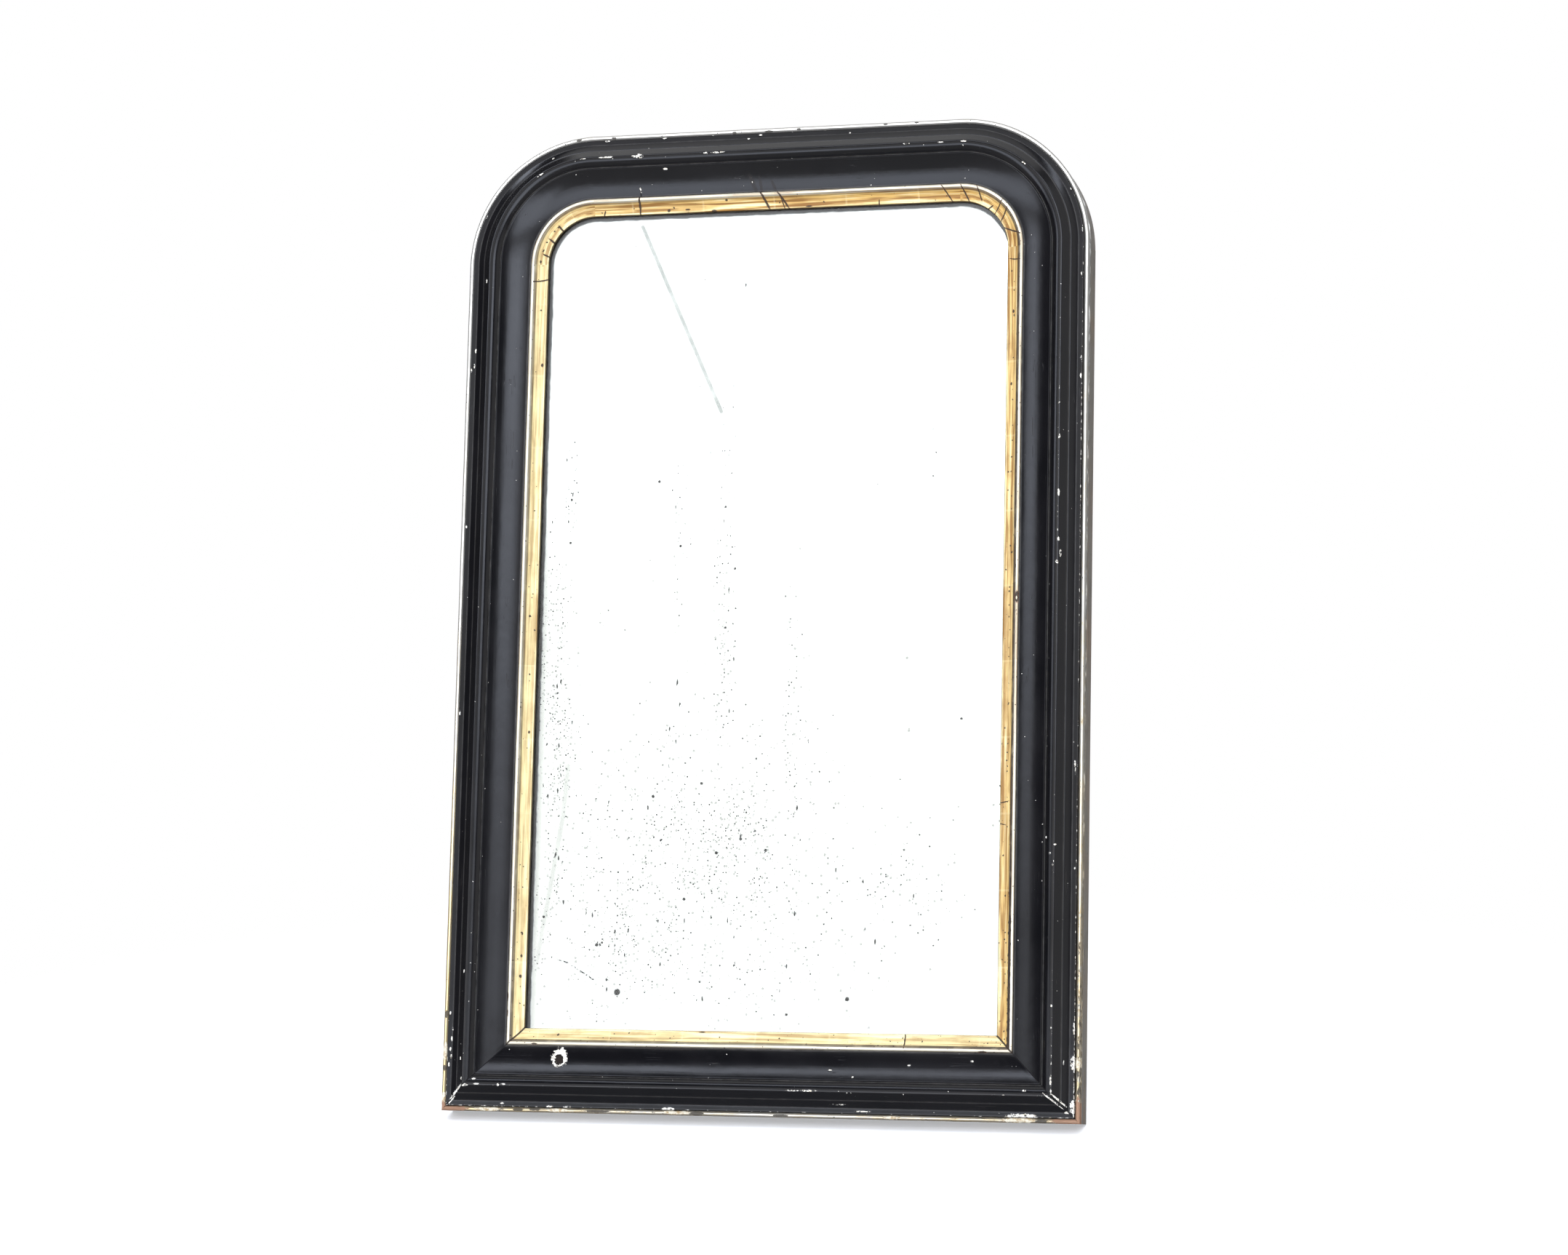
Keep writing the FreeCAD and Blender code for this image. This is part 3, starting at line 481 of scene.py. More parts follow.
BEAD_MARKS = [
    *spots(
        TR, SMUDGE,
        (-185.6, 3.6, 2.6, 1.6, 0.3), (-47, 4.0, 2.4, 1.4, 0.3), (-8, 4.4, 4.5, 1.5, 0.3),
        (26, 3.2, 2.2, 1.2, 0.2),
        (123.7, 2.3, 2.6, 1.0, 0.2), (158.4, 2.0, 2.2, 1.0, 0.2),
    ),
    *spots(LC, SMUDGE, (205, 2.6, 3.4, 1.4, 0.2)),
    *spots(LS, SMUDGE, (104, 2.8, 4.0, 2.2, 0.4), (46, 2.8, 3.0, 2.6, 0.3)),
    *spots(LS, CHIP, (64, 2.6, 9.0, 3.0, 0.4), (14, 2.6, 6.0, 2.6, 0.3)),
    *spots(LS, BARE, (2, 2.8, 8.0, 4.0, 0.5)),
    *spots(RS, CHIP, (62.9, 2.4, 6.0, 3.4, 0.5), (21, 4.6, 5.0, 1.4, 0.5)),
    *spots(RS, SMUDGE, (52, 3.0, 3.4, 1.6, 0.3)),
    *spots(RS, BARE, (12, 2.8, 15.0, 4.4, 0.7)),
    *spots(BR, BARE, (-340, 2.8, 19.0, 4.4, 0.6), (338, 2.8, 18.0, 4.4, 0.6)),
    *spots(
        BR, CHIP,
        (-296, 2.6, 15.0, 2.6, 0.4), (-217, 2.8, 12.0, 2.2, 0.4), (-84, 3.6, 14.0, 2.6, 0.6),
        (150, 2.6, 10.0, 1.7, 0.3), (286, 3.0, 17.0, 3.2, 0.5),
    ),
    *spots(
        BR, SMUDGE,
        (-262, 3.0, 6.0, 2.0, 0.5), (-243, 3.8, 7.0, 2.0, 0.6), (-172, 2.6, 14.0, 1.6, 0.5),
        (-62, 2.6, 8.0, 2.6, 0.6), (30, 2.2, 9.0, 1.4, 0.3), (309, 2.6, 6.5, 3.4, 0.6),
    ),
]
# Values that drift along each length, by a few (along, value) stops.
MOULDING_WEAR: Drift = {
    LS: ((0, 0.7), (120, 0.45), (300, 0.2), (935, 0.2)),
    RS: ((0, 1.0), (160, 0.7), (400, 0.5), (760, 0.8), (935, 0.4)),
    TR: ((-207, 0.45), (0, 0.35), (207, 0.35)),
    LC: ((0, 0.2), (225, 0.4)),
    RC: ((0, 0.4), (225, 0.35)),
    BR: ((-350, 0.8), (-250, 0.6), (0, 0.5), (200, 0.5), (350, 0.8)),
}
SLIP_WEAR: Drift = {
    LS: ((0, 0.6), (300, 0.4), (935, 0.4)),
    RS: ((0, 1.0), (150, 0.85), (300, 0.66), (935, 0.66)),
    TR: ((-207, 0.3), (0, 0.2), (207, 0.3)),
    LC: ((0, 0.4), (225, 0.3)),
    RC: ((0, 0.7), (112, 0.45), (225, 0.3)),
    BR: ((-350, 0.6), (0, 0.45), (350, 0.7)),
}
# Painted shade: on the slip these values deepen and darken the leaf on the top rail, the right stile and the top
# of the left corner. This is partly the leaf's real deeper tone and partly painted shade on coves that face away
# from the light.
SLIP_WARMTH_AND_SHADE: Drift = {
    LS: ((0, 0.35), (150, 0.1), (935, 0.15)),
    RS: ((0, 0.9), (500, 0.6), (935, 0.8)),
    TR: ((-207, 0.8), (207, 1.0)),
    LC: ((0, 0.15), (110, 0.5), (225, 0.8)),
    RC: ((0, 0.8), (225, 1.0)),
    BR: ((-350, 0.2), (250, 0.1), (350, 0.3)),
}
BEAD_WEAR: Drift = {
    LS: ((0, 0.9), (60, 0.8), (150, 0.4), (500, 0.25), (935, 0.15)),
    RS: ((0, 1.35), (100, 1.25), (300, 0.9), (700, 0.75), (935, 0.6)),
    TR: ((-207, 0.5), (-120, 0.35), (0, 0.5), (207, 0.3)),
    LC: ((0, 0.15), (150, 0.2), (225, 0.5)),
    RC: ((0, 0.6), (120, 0.35), (225, 0.3)),
    BR: ((-350, 1.2), (-200, 1.0), (0, 0.7), (200, 0.9), (350, 1.3)),
}
BEAD_WARMTH: Drift = {
    LS: ((0, 0.9), (200, 0.75), (450, 0.35), (935, 0.1)),
    RS: ((0, 0.7), (200, 0.5), (500, 0.3), (935, 0.15)),
    TR: ((-207, 0.15), (207, 0.1)),
    LC: ((0, 0.1), (225, 0.15)),
    RC: ((0, 0.15), (225, 0.1)),
    BR: ((-350, 0.7), (-200, 0.5), (0, 0.35), (350, 0.6)),
}


def relief(seed: int, pitches: Row, along: np.ndarray, across: np.ndarray) -> np.ndarray:
    """Smooth random relief.

    Args:
        seed: what its grid is drawn from.
        pitches: the grid's spacing along and across.
        along: places along the length.
        across: places across it.

    Returns:
        Values from 0 to 1.
    """
    grid = np.random.default_rng(seed).random(RELIEF_GRID)
    rows, columns = grid.shape
    u, v = (along + RELIEF_LEAD[0]) / pitches[0], (across + RELIEF_LEAD[1]) / pitches[1]
    i, j = np.floor(u).astype(int), np.floor(v).astype(int)
    fu, fv = smooth_step(0.0, 1.0, u - i), smooth_step(0.0, 1.0, v - j)
    near = grid[i % rows, j % columns] * (1 - fu) + grid[(i + 1) % rows, j % columns] * fu
    far = grid[i % rows, (j + 1) % columns] * (1 - fu) + grid[(i + 1) % rows, (j + 1) % columns] * fu
    return near * (1 - fv) + far * fv


# Meshes


@dataclass
class Sweep:
    """One length of moulding, swept from its layer's section with its wear worked into the surface."""

    layout: Layout
    layer: "Layer"
    run: Run
    seed: int
    pitch: float = 7.0
    mitre_zone: float = 110.0
    mitre_gap: float = 0.12
    mitre_stations: Row = (0.35, 0.8, 1.5, 3.0, 5.0)
    seam_width: float = 1.4
    least_step: float = 0.22

    def __post_init__(self) -> None:
        """Finds the marks that are on this length, and where it starts and ends."""
        self.marks = [mark for mark in self.layer.marks if mark.run is self.run]
        self.start, end = self.layout.span(self.run)
        self.length = end - self.start

    def stations(self) -> np.ndarray:
        """Where the section is set down, as distances from the start of the length.

        Returns:
            Rising distances in millimetres, closer together at the marks and the mitres.
        """
        pitch = self.layer.corner_pitch if self.run.is_corner else self.pitch
        places = [np.linspace(0.0, self.length, max(2, round(self.length / pitch)) + 1)]
        at_start, at_end = self.run.mitred
        for mark in self.marks:
            middle = mark.along - self.start
            rest = self.length - middle
            if at_start and middle < self.mitre_zone:
                middle = (middle - mark.across) / (1 - mark.across / self.mitre_zone)
            elif at_end and rest < self.mitre_zone:
                middle = self.length - (rest - mark.across) / (1 - mark.across / self.mitre_zone)
            reach = mark.reach * 1.5 + 1.0
            step = min(1.2, max(0.3, min(mark.half_length, mark.half_width) / 3))
            places.append(np.arange(middle - reach, middle + reach, step))
        near = np.array(self.mitre_stations)
        places += [near] * at_start + [self.length - near] * at_end
        kept = [0.0]
        for place in np.unique(np.clip(np.concatenate(places), 0.0, self.length)):
            if place - kept[-1] > self.least_step:
                kept.append(float(place))
        kept[-1] = self.length
        return np.array(kept)

    def build(self, name: str) -> bpy.types.Object:
        """Makes the length as one closed mesh.

        Args:
            name: the piece's name.

        Returns:
            The object, with the attributes and the map that its finish reads.
        """
        outline = self.layer.section.outline()
        from_start = np.repeat(self.stations()[:, None], len(outline.across), axis=1)
        shape = from_start.shape
        across, up = np.broadcast_to(outline.across, shape), np.broadcast_to(outline.up, shape)
        along, seam = from_start.copy(), np.zeros(shape)
        for mitred, way, off in zip(self.run.mitred, (1.0, -1.0), (from_start, self.length - from_start)):
            if mitred:
                along += way * (across + self.mitre_gap) * np.clip(1 - off / self.mitre_zone, 0, 1)
                seam = np.maximum(seam, 1 - off * (1 - across / self.mitre_zone) / self.seam_width)
        along += self.start
        values, sunk = self._surface(along, across, from_start)
        values |= {"edge": outline.edge, "hollow": outline.hollow, "across": across, "up": up}
        values["seam"] = np.clip(seam, 0, 1)
        points = self.layout.place(
            self.run, along, across - outline.out[:, 0] * sunk, up - outline.out[:, 1] * sunk
        )
        rings, sides = shape
        ring = np.arange(sides)
        caps = [ring[::-1].tolist(), (ring + (rings - 1) * sides).tolist()]
        mesh = bpy.data.meshes.new(name)
        mesh.from_pydata(points.tolist(), [], tube(rings, sides) + caps)
        for key, value in values.items():
            layer = mesh.attributes.new(key, "FLOAT", "POINT")
            layer.data.foreach_set("value", np.broadcast_to(value, shape).astype(np.float32).ravel())
        chart = np.stack([along, np.broadcast_to(outline.girth, shape)], axis=-1).reshape(-1, 2) * MM
        corners = np.zeros(len(mesh.loops), dtype=np.int32)
        mesh.loops.foreach_get("vertex_index", corners)
        mesh.uv_layers.new(name=RUN_MAP).data.foreach_set("uv", chart[corners].astype(np.float32).ravel())
        return finished_mesh(name, mesh, 40.0)

    def _surface(
        self, along: np.ndarray, across: np.ndarray, from_start: np.ndarray
    ) -> tuple[dict[str, np.ndarray], np.ndarray]:
        """Works out the wear at every point.

        Args:
            along: places along the length.
            across: places across it.
            from_start: distances from the start of the length.

        Returns:
            A value a point for each attribute, and how far the surface lies under the new section.
        """
        radius, layer = self.layout.radius, self.layer
        shrink = (radius - across) / radius if self.run.is_corner else np.ones_like(along)
        inside = smooth_step(0.0, 12.0, np.minimum(from_start, self.length - from_start))
        pitches = ((46.0, 23.0), (5.2, 2.6), (1.9, 1.3))
        wave, rough, fine = (relief(self.seed + k, pair, along, across) for k, pair in enumerate(pitches))
        values = {kind.value: np.zeros_like(along) for kind in Kind}
        for key, drift in (("worn", layer.wear), ("warmth_and_shade", layer.warmth_and_shade)):
            values[key] = np.interp(along, *zip(*drift.get(self.run, ((0, 0),))))
        sunk = layer.ripple * wave * inside + layer.lumps * values["worn"] * (0.6 * rough + 0.4 * fine)
        for mark in self.marks:
            felt = mark.felt(along, across, shrink)
            if mark.kind is not SMUDGE:
                felt = np.where(felt > 0, np.clip(felt + (fine - 0.5) * 0.22, 0, 1), 0)
            values[mark.kind.value] = np.maximum(values[mark.kind.value], felt)
            sunk = np.maximum(sunk, mark.depth * smooth_step(0.44, 0.62, felt) * (0.75 + 0.5 * rough))
        return values, sunk


def tube(rings: int, sides: int) -> list[list[int]]:
    """The four-sided faces between rings of points, each ring with the same number of sides."""
    levels = range(0, (rings - 1) * sides, sides)
    first = [(level + j, level + (j + 1) % sides) for level in levels for j in range(sides)]
    return [[a, b, b + sides, a + sides] for a, b in first]


def finished_mesh(name: str, mesh: bpy.types.Mesh, sharp_angle: float) -> bpy.types.Object:
    """Turns the faces outwards, smooths them and puts the mesh in the scene.

    Args:
        name: the piece's name.
        mesh: a closed mesh in the frame's own place.
        sharp_angle: the angle in degrees above which an edge stays sharp.

    Returns:
        The new object.
    """
    work = bmesh.new()
    work.from_mesh(mesh)
    bmesh.ops.recalc_face_normals(work, faces=work.faces)
    work.to_mesh(mesh)
    work.free()
    mesh.polygons.foreach_set("use_smooth", [True] * len(mesh.polygons))
    mesh.set_sharp_from_angle(angle=math.radians(sharp_angle))
    return linked(name, mesh)


def linked(name: str, data: bpy.types.ID) -> bpy.types.Object:
    """A new object, put in the scene.

    Args:
        name: its name.
        data: its mesh or camera.

    Returns:
        The object.
    """
    item = bpy.data.objects.new(name, data)
    bpy.context.scene.collection.objects.link(item)
    return item


def slab(name: str, low: float, high: float, line: np.ndarray, ease: float) -> bpy.types.Object:
    """A flat sheet with a drawn outline and ground edges.

    Args:
        name: the piece's name.
        low: where it starts along y.
        high: where it ends along y.
        line: points (x, z) round its edge, in metres.
        ease: how far its arrises are ground off, in metres.

    Returns:
        The object.
    """
    sides, out = len(line), outward(line)
    rings = []
    for y, inset in ((low, ease), (low + ease, 0.0), (high - ease, 0.0), (high, ease)):
        moved = line - out * inset
        rings.append(np.stack([moved[:, 0], np.full(sides, y), moved[:, 1]], axis=1))
    caps = [list(range(sides)), [3 * sides + j for j in reversed(range(sides))]]
    mesh = bpy.data.meshes.new(name)
    mesh.from_pydata(np.concatenate(rings).tolist(), [], tube(len(rings), sides) + caps)
    return finished_mesh(name, mesh, 25.0)


# Node trees


class Graph:
    """A node tree being wired, with one short method for each kind of node that the finishes use."""

    def __init__(self, tree: bpy.types.NodeTree) -> None:
        """Keeps the tree."""
        self.tree = tree

    @classmethod
    def group(cls, name: str, **inputs: object) -> tuple:
        """Starts a shader group with named sockets.

        Args:
            name: the group's name.
            inputs: each input's default; a tuple makes it a vector.

        Returns:
            Its graph and its inputs, in order.
        """
        tree = bpy.data.node_groups.new(name, "ShaderNodeTree")
        for key, default in inputs.items():
            kind = "NodeSocketVector" if isinstance(default, tuple) else "NodeSocketFloat"
            tree.interface.new_socket(name=key, in_out="INPUT", socket_type=kind).default_value = default
        g = cls(tree)
        return g, *tuple(g.node("NodeGroupInput").outputs)[: len(inputs)]

    def give(self, **values: Socket) -> None:
        """Hands named numbers out of a group.

        Args:
            values: the number for each name.
        """
        for key in values:
            self.tree.interface.new_socket(name=key, in_out="OUTPUT", socket_type="NodeSocketFloat")
        self.node("NodeGroupOutput", values)

    def node(self, kind: str, feeds: dict | None = None, **settings: object) -> bpy.types.Node:
        """Adds a node.

        Args:
            kind: its type.
            feeds: what its inputs get, by name or number.
            settings: its properties.

        Returns:
            The node.
        """
        node = self.tree.nodes.new(kind)
        for key, value in settings.items():
            setattr(node, key, value)
        for key, value in (feeds or {}).items():
            self.feed(node.inputs[key], value)
        return node

    def feed(self, socket: Socket, value: object) -> None:
        """Links a socket to an input, or sets its value.

        Args:
            socket: the input.
            value: an output socket, a number, a vector or a colour.
        """
        if isinstance(value, Socket):
            self.tree.links.new(value, socket)
        elif isinstance(value, tuple) and socket.type == "RGBA":
            socket.default_value = (*value, 1.0)
        else:
            socket.default_value = value

    @cached_property
    def place(self) -> Socket:
        """Places in the object's own frame, in metres."""
        return self.node("ShaderNodeTexCoord").outputs["Object"]

    @cached_property
    def run(self) -> Socket:
        """Places along a length and round its section, in metres."""
        return self.node("ShaderNodeUVMap", uv_map=RUN_MAP).outputs[0]

    def value(self, name: str) -> Socket:
        """A value that the mesh carries."""
        return self.node("ShaderNodeAttribute", attribute_name=name).outputs["Fac"]

    def math(self, operation: str, a: object, b: object = 0.0, clamp: bool = False) -> Socket:
        """One sum on two values."""
        return self.node("ShaderNodeMath", {0: a, 1: b}, operation=operation, use_clamp=clamp).outputs[0]

    def add(self, *values: object) -> Socket:
        """The sum of several values."""
        return reduce(partial(self.math, "ADD"), values)

    def times(self, *values: object) -> Socket:
        """The product of several values."""
        return reduce(partial(self.math, "MULTIPLY"), values)

    def most(self, *values: object) -> Socket:
        """The largest of several values."""
        return reduce(partial(self.math, "MAXIMUM"), values)

    def less(self, a: object, b: object) -> Socket:
        """One value less another, never under 0."""
        return self.math("SUBTRACT", a, b, clamp=True)

    def weigh(self, first: object, *rest: tuple[object, float]) -> Socket:
        """Adds further values to a first one, each by its weight."""
        return self.add(first, *(self.times(value, weight) for value, weight in rest))

    def step(self, value: object, low: float, high: float) -> Socket:
        """A smooth step from 0 at low to 1 at high."""
        feeds = {"Value": value, "From Min": low, "From Max": high}
        return self.node("ShaderNodeMapRange", feeds, interpolation_type="SMOOTHSTEP").outputs["Result"]

    def scale(self, value: object, low: float, high: float) -> Socket:
        """Stretches a value from 0 to 1 between two numbers."""
        feeds = {"Value": value, "To Min": low, "To Max": high}
        return self.node("ShaderNodeMapRange", feeds).outputs["Result"]

    def mix(self, factor: object, a: object, b: object) -> Socket:
        """A colour between two colours."""
        return self.node("ShaderNodeMix", {0: factor, 6: a, 7: b}, data_type="RGBA").outputs[2]

    def blend(self, factor: object, a: object, b: object) -> Socket:
        """A number between two numbers."""
        return self.node("ShaderNodeMix", {0: factor, 2: a, 3: b}, data_type="FLOAT").outputs[0]

    def lay(self, base: object, *coats: tuple) -> Socket:
        """Lays colours over a base, one after the other.

        Args:
            base: the colour underneath.
            coats: each a colour and the factors whose product says how much of it there is.

        Returns:
            The colour on top.
        """
        for colour, *factors in coats:
            base = self.mix(self.times(*factors), base, colour)
        return base

    def noise(
        self, vector: object, scale: object, detail: float = 2.0, rough: float = 0.5, warp: float = 0.0
    ) -> Socket:
        """Soft noise from 0 to 1."""
        feeds = {"Vector": vector, "Scale": scale, "Detail": detail, "Roughness": rough, "Distortion": warp}
        return self.node("ShaderNodeTexNoise", feeds).outputs[0]

    def vector(self, operation: str, a: object, b: object = ZERO) -> Socket:
        """One vector sum, or the number that it gives."""
        node = self.node("ShaderNodeVectorMath", {0: a, 1: b}, operation=operation)
        return node.outputs["Value" if operation in ("DISTANCE", "LENGTH", "DOT_PRODUCT") else "Vector"]

    def longer(self, vector: object, scale: object) -> Socket:
        """A vector, scaled."""
        feeds = {0: vector, "Scale": scale}
        return self.node("ShaderNodeVectorMath", feeds, operation="SCALE").outputs["Vector"]

    def split(self, vector: object) -> tuple[Socket, ...]:
        """The three parts of a vector."""
        return tuple(self.node("ShaderNodeSeparateXYZ", {0: vector}).outputs)

    def turned(self, vector: object, location: Row = ZERO, rotation: Row = ZERO, scale: Row = (1, 1, 1)) -> Socket:
        """Places moved, turned and stretched."""
        feeds = {"Vector": vector, "Location": location, "Rotation": rotation, "Scale": scale}
        return self.node("ShaderNodeMapping", feeds).outputs[0]

    def drawn_out(self, share: float, location: Row = ZERO) -> Socket:
        """Places on a length, with what lies there drawn out along it."""
        return self.turned(self.run, location, scale=(share, 1.0, 1.0))

    def bump(self, height: object, distance: float) -> Socket:
        """A normal from a height."""
        feeds = {"Strength": 1.0, "Distance": distance, "Height": height}
        return self.node("ShaderNodeBump", feeds).outputs[0]

    def use(self, name: str, **inputs: object) -> tuple[Socket, ...]:
        """What a shader group gives for its named inputs."""
        return tuple(self.node("ShaderNodeGroup", inputs, node_tree=bpy.data.node_groups[name]).outputs)

    def specks(self, scale: float, amount: object, size: float, vector: object = None) -> Socket:
        """A mask of ragged dots."""
        return self.use("Specks", Vector=vector or self.place, Scale=scale, Amount=amount, Size=size)[0]

    def grain(self, scale: float, stretch: float, vector: object = None) -> tuple[Socket, ...]:
        """Wood grain or brush strokes, and the pores."""
        return self.use("Grain", Vector=vector or self.run, Scale=scale, Stretch=stretch)

    def grime(self, scale: float, amount: float, softness: float) -> Socket:
        """A mask of clouds of dirt or dulling."""
        return self.use("Grime", Vector=self.place, Scale=scale, Amount=amount, Softness=softness)[0]

    def flake(self, amount: object, scale: float, ragged: float, vector: object = None) -> tuple[Socket, ...]:
        """The mask and the rim of a flake, from a value or from the name of one that the mesh carries."""
        amount = self.value(amount) if isinstance(amount, str) else amount
        return self.use("Flaking", Field=amount, Vector=vector or self.place, Scale=scale, Ragged=ragged)


class Effects:
    """The shader groups that several finishes share; graphs find them by name."""

    def __init__(self) -> None:
        """Builds every group."""
        for build in (self.specks, self.grain, self.flaking, self.grime, self.scratches, self.stroke):
            build()

    @staticmethod
    def specks() -> None:
        """Ragged dots of many sizes: Amount is the share of cells that hold one, Size its reach in the cell."""
        g, vector, scale, amount, size = Graph.group("Specks", Vector=ZERO, Scale=300.0, Amount=0.1, Size=0.3)
        wander = g.node("ShaderNodeTexNoise", {"Vector": vector, "Scale": g.times(scale, 2.2), "Detail": 2.0})
        offset = g.vector("SUBTRACT", wander.outputs["Color"], (0.5, 0.5, 0.5))
        moved = g.vector("ADD", vector, g.longer(offset, g.math("DIVIDE", 0.42, scale)))
        cells = g.node("ShaderNodeTexVoronoi", {"Vector": moved, "Scale": scale})
        chance, share, _ = g.node("ShaderNodeSeparateColor", {0: cells.outputs["Color"]}).outputs
        reach = g.times(size, g.scale(g.times(share, share), 0.35, 1.0))
        near = g.math("SUBTRACT", 1.0, g.math("DIVIDE", cells.outputs["Distance"], reach))
        g.give(Mask=g.times(g.math("LESS_THAN", chance, amount), g.step(near, 0.0, 0.35)))

    @staticmethod
    def grain() -> None:
        """Wood grain that runs along the first axis, with its open pores."""
        g, vector, scale, stretch = Graph.group("Grain", Vector=ZERO, Scale=60.0, Stretch=14.0)
        x, y, z = g.split(vector)
        joined = g.node("ShaderNodeCombineXYZ", {0: g.math("DIVIDE", x, stretch), 1: y, 2: z}).outputs[0]
        fine = g.noise(joined, g.times(scale, 6.5), 3.0, 0.6)
        g.give(Grain=g.noise(joined, scale, 5.0, 0.6, 0.6), Pores=g.step(fine, 0.58, 0.7))

    @staticmethod
    def flaking() -> None:
        """A ragged flake: Mask is the lost part, Rim the cracked border."""
        g, flaked, vector, scale, ragged = Graph.group("Flaking", Field=0.0, Vector=ZERO, Scale=900.0, Ragged=0.3)
        rough = g.math("SUBTRACT", g.noise(vector, scale, 4.0, 0.65), 0.5)
        level = g.add(flaked, g.times(rough, ragged))
        mask = g.step(level, 0.47, 0.52)
        g.give(Mask=mask, Rim=g.less(g.step(level, 0.38, 0.47), mask))

    @staticmethod
    def grime() -> None:
        """Clouds of dirt, dust or dulling: Amount is the share of the surface that they cover."""
        defaults = {"Vector": ZERO, "Scale": 12.0, "Amount": 0.5, "Softness": 0.15}
        g, vector, scale, amount, softness = Graph.group("Grime", **defaults)
        middle = g.math("SUBTRACT", 0.72, g.times(amount, 0.44))
        cloud = g.noise(vector, scale, 6.0, 0.62, 0.3)
        g.give(Mask=g.step(cloud, g.math("SUBTRACT", middle, softness), g.add(middle, softness)))

    @staticmethod
    def scratches() -> None:
        """Hairline scratches that run mostly along the first axis."""
        g, vector, scale, width = Graph.group("Scratches", Vector=ZERO, Scale=160.0, Width=0.006)
        squeezed = g.turned(vector, rotation=(0.0, 0.0, 0.05), scale=(0.045, 1.0, 1.0))
        off = g.math("ABSOLUTE", g.math("SUBTRACT", g.noise(squeezed, scale, 1.0, 0.4), 0.5))
        broken = g.step(g.noise(vector, 38.0, 3.0), 0.56, 0.64)
        g.give(Mask=g.times(g.less(1.0, g.math("DIVIDE", off, width)), broken))

    @staticmethod
    def stroke() -> None:
        """A single line from Start to End, fading over its Width."""
        defaults = {"Vector": ZERO, "Start": ZERO, "End": (0.0, 0.0, 1.0), "Width": 0.001}
        g, vector, start, end, width = Graph.group("Stroke", **defaults)
        way, here = g.vector("SUBTRACT", end, start), g.vector("SUBTRACT", vector, start)
        share = g.math("DIVIDE", g.vector("DOT_PRODUCT", here, way), g.vector("DOT_PRODUCT", way, way), clamp=True)
        off = g.vector("DISTANCE", here, g.longer(way, share))
        g.give(Mask=g.step(g.math("DIVIDE", off, width), 1.0, 0.3))


# Finishes


@dataclass(frozen=True)
class Finish:
    """A finish: its name, and the plain settings of its shader."""

    name: str
    ior: float = 1.5
    specular: float = 0.5

    def build(self) -> Material:
        """Makes the material.

        Returns:
            The material.
        """
        material = bpy.data.materials.new(self.name)
        material.use_nodes = True
        shader = material.node_tree.nodes["Principled BSDF"]
        shader.inputs["IOR"].default_value = self.ior
        shader.inputs["Specular IOR Level"].default_value = self.specular
        g = Graph(material.node_tree)
        for key, value in self.paint(g).items():
            g.feed(shader.inputs[key], value)
        return material

    def paint(self, g: Graph) -> Coat:
        """What the shader's inputs get; every finish has its own."""
        raise NotImplementedError


@dataclass(frozen=True)
class Ebonised(Finish):
    """Black polish over gesso: satin, dusty in the quirks, rubbed on its ridges, chipped to the ground."""

    black: Colour = (0.0030, 0.0030, 0.0040)
    faded: Colour = (0.0058, 0.0054, 0.0064)
    rubbed: Colour = (0.075, 0.066, 0.055)
    gesso: Colour = (0.90, 0.86, 0.76)
    old_gesso: Colour = (0.50, 0.42, 0.30)
    wood: Colour = (0.022, 0.014, 0.009)
    deep_wood: Colour = (0.008, 0.006, 0.005)
    dust: Colour = (0.30, 0.28, 0.25)
    soot: Colour = (0.012, 0.008, 0.006)
    flake_rim: Colour = (0.03, 0.024, 0.02)
    crevice: Colour = (0.004, 0.003, 0.003)

    def paint(self, g: Graph) -> Coat:
        """Wires the polish.

        Args:
            g: the material's graph.

        Returns:
            What the shader's inputs get.
        """
        place, run = g.place, g.run
        edge, worn = g.value("edge"), g.value("worn")
        clouds, grain, motes = g.grime(7.0, 0.5, 0.2), g.grain(130.0, 34.0)[0], g.specks(230.0, 0.05, 0.17)
        hairlines = g.use("Scratches", Vector=run, Scale=240.0, Width=0.005)[0]
        rubbing = g.flake(g.times(edge, g.scale(worn, 0.22, 0.62)), 420.0, 1.15, g.drawn_out(0.45))[0]
        flake, rim = g.flake("chip", 620.0, 0.5)
        crumbs = g.most(g.step(g.noise(place, 430.0, 3.0), 0.38, 0.5), g.step(g.value("hole"), 0.0, 0.05))
        lost = g.most(g.times(flake, crumbs), g.times(rubbing, 0.9))
        settled = g.times(g.value("hollow"), g.noise(place, 60.0, 4.0), 0.30)
        smudge = g.step(g.weigh(g.value("smudge"), (g.noise(place, 300.0, 4.0), 0.5)), 0.55, 0.95)
        ground = g.lay(
            self.gesso,
            (self.old_gesso, g.step(g.noise(place, 520.0, 4.0), 0.5, 0.7)),
            (g.mix(grain, self.wood, self.deep_wood), g.flake("hole", 420.0, 0.3)[0]),
        )
        dark = g.most(g.flake("crack", 1100.0, 0.4)[0], g.step(g.value("seam"), 0.45, 0.85))
        base = g.lay(
            self.black,
            (self.faded, clouds),
            (self.rubbed, edge, g.scale(grain, 0.0, 0.9), worn),
            (self.dust, settled),
            (self.rubbed, hairlines, 0.22),
            (self.gesso, motes, 0.75),
            (self.soot, smudge, 0.8),
            (self.flake_rim, rim, 0.45),
            (ground, lost),
            (self.crevice, dark),
        )
        sheen = g.weigh(0.10, (clouds, 0.07), (grain, 0.07), (settled, 0.9), (smudge, 0.14))
        swell = g.noise(place, 55.0, 3.0)
        height = g.weigh(g.times(grain, 0.42), (swell, 1.1), (motes, 0.5), (hairlines, -0.25), (lost, -1.8))
        return {
            "Base Color": base,
            "Roughness": g.blend(g.most(lost, dark), sheen, 0.85),
            "Normal": g.bump(height, 0.00012),
        }


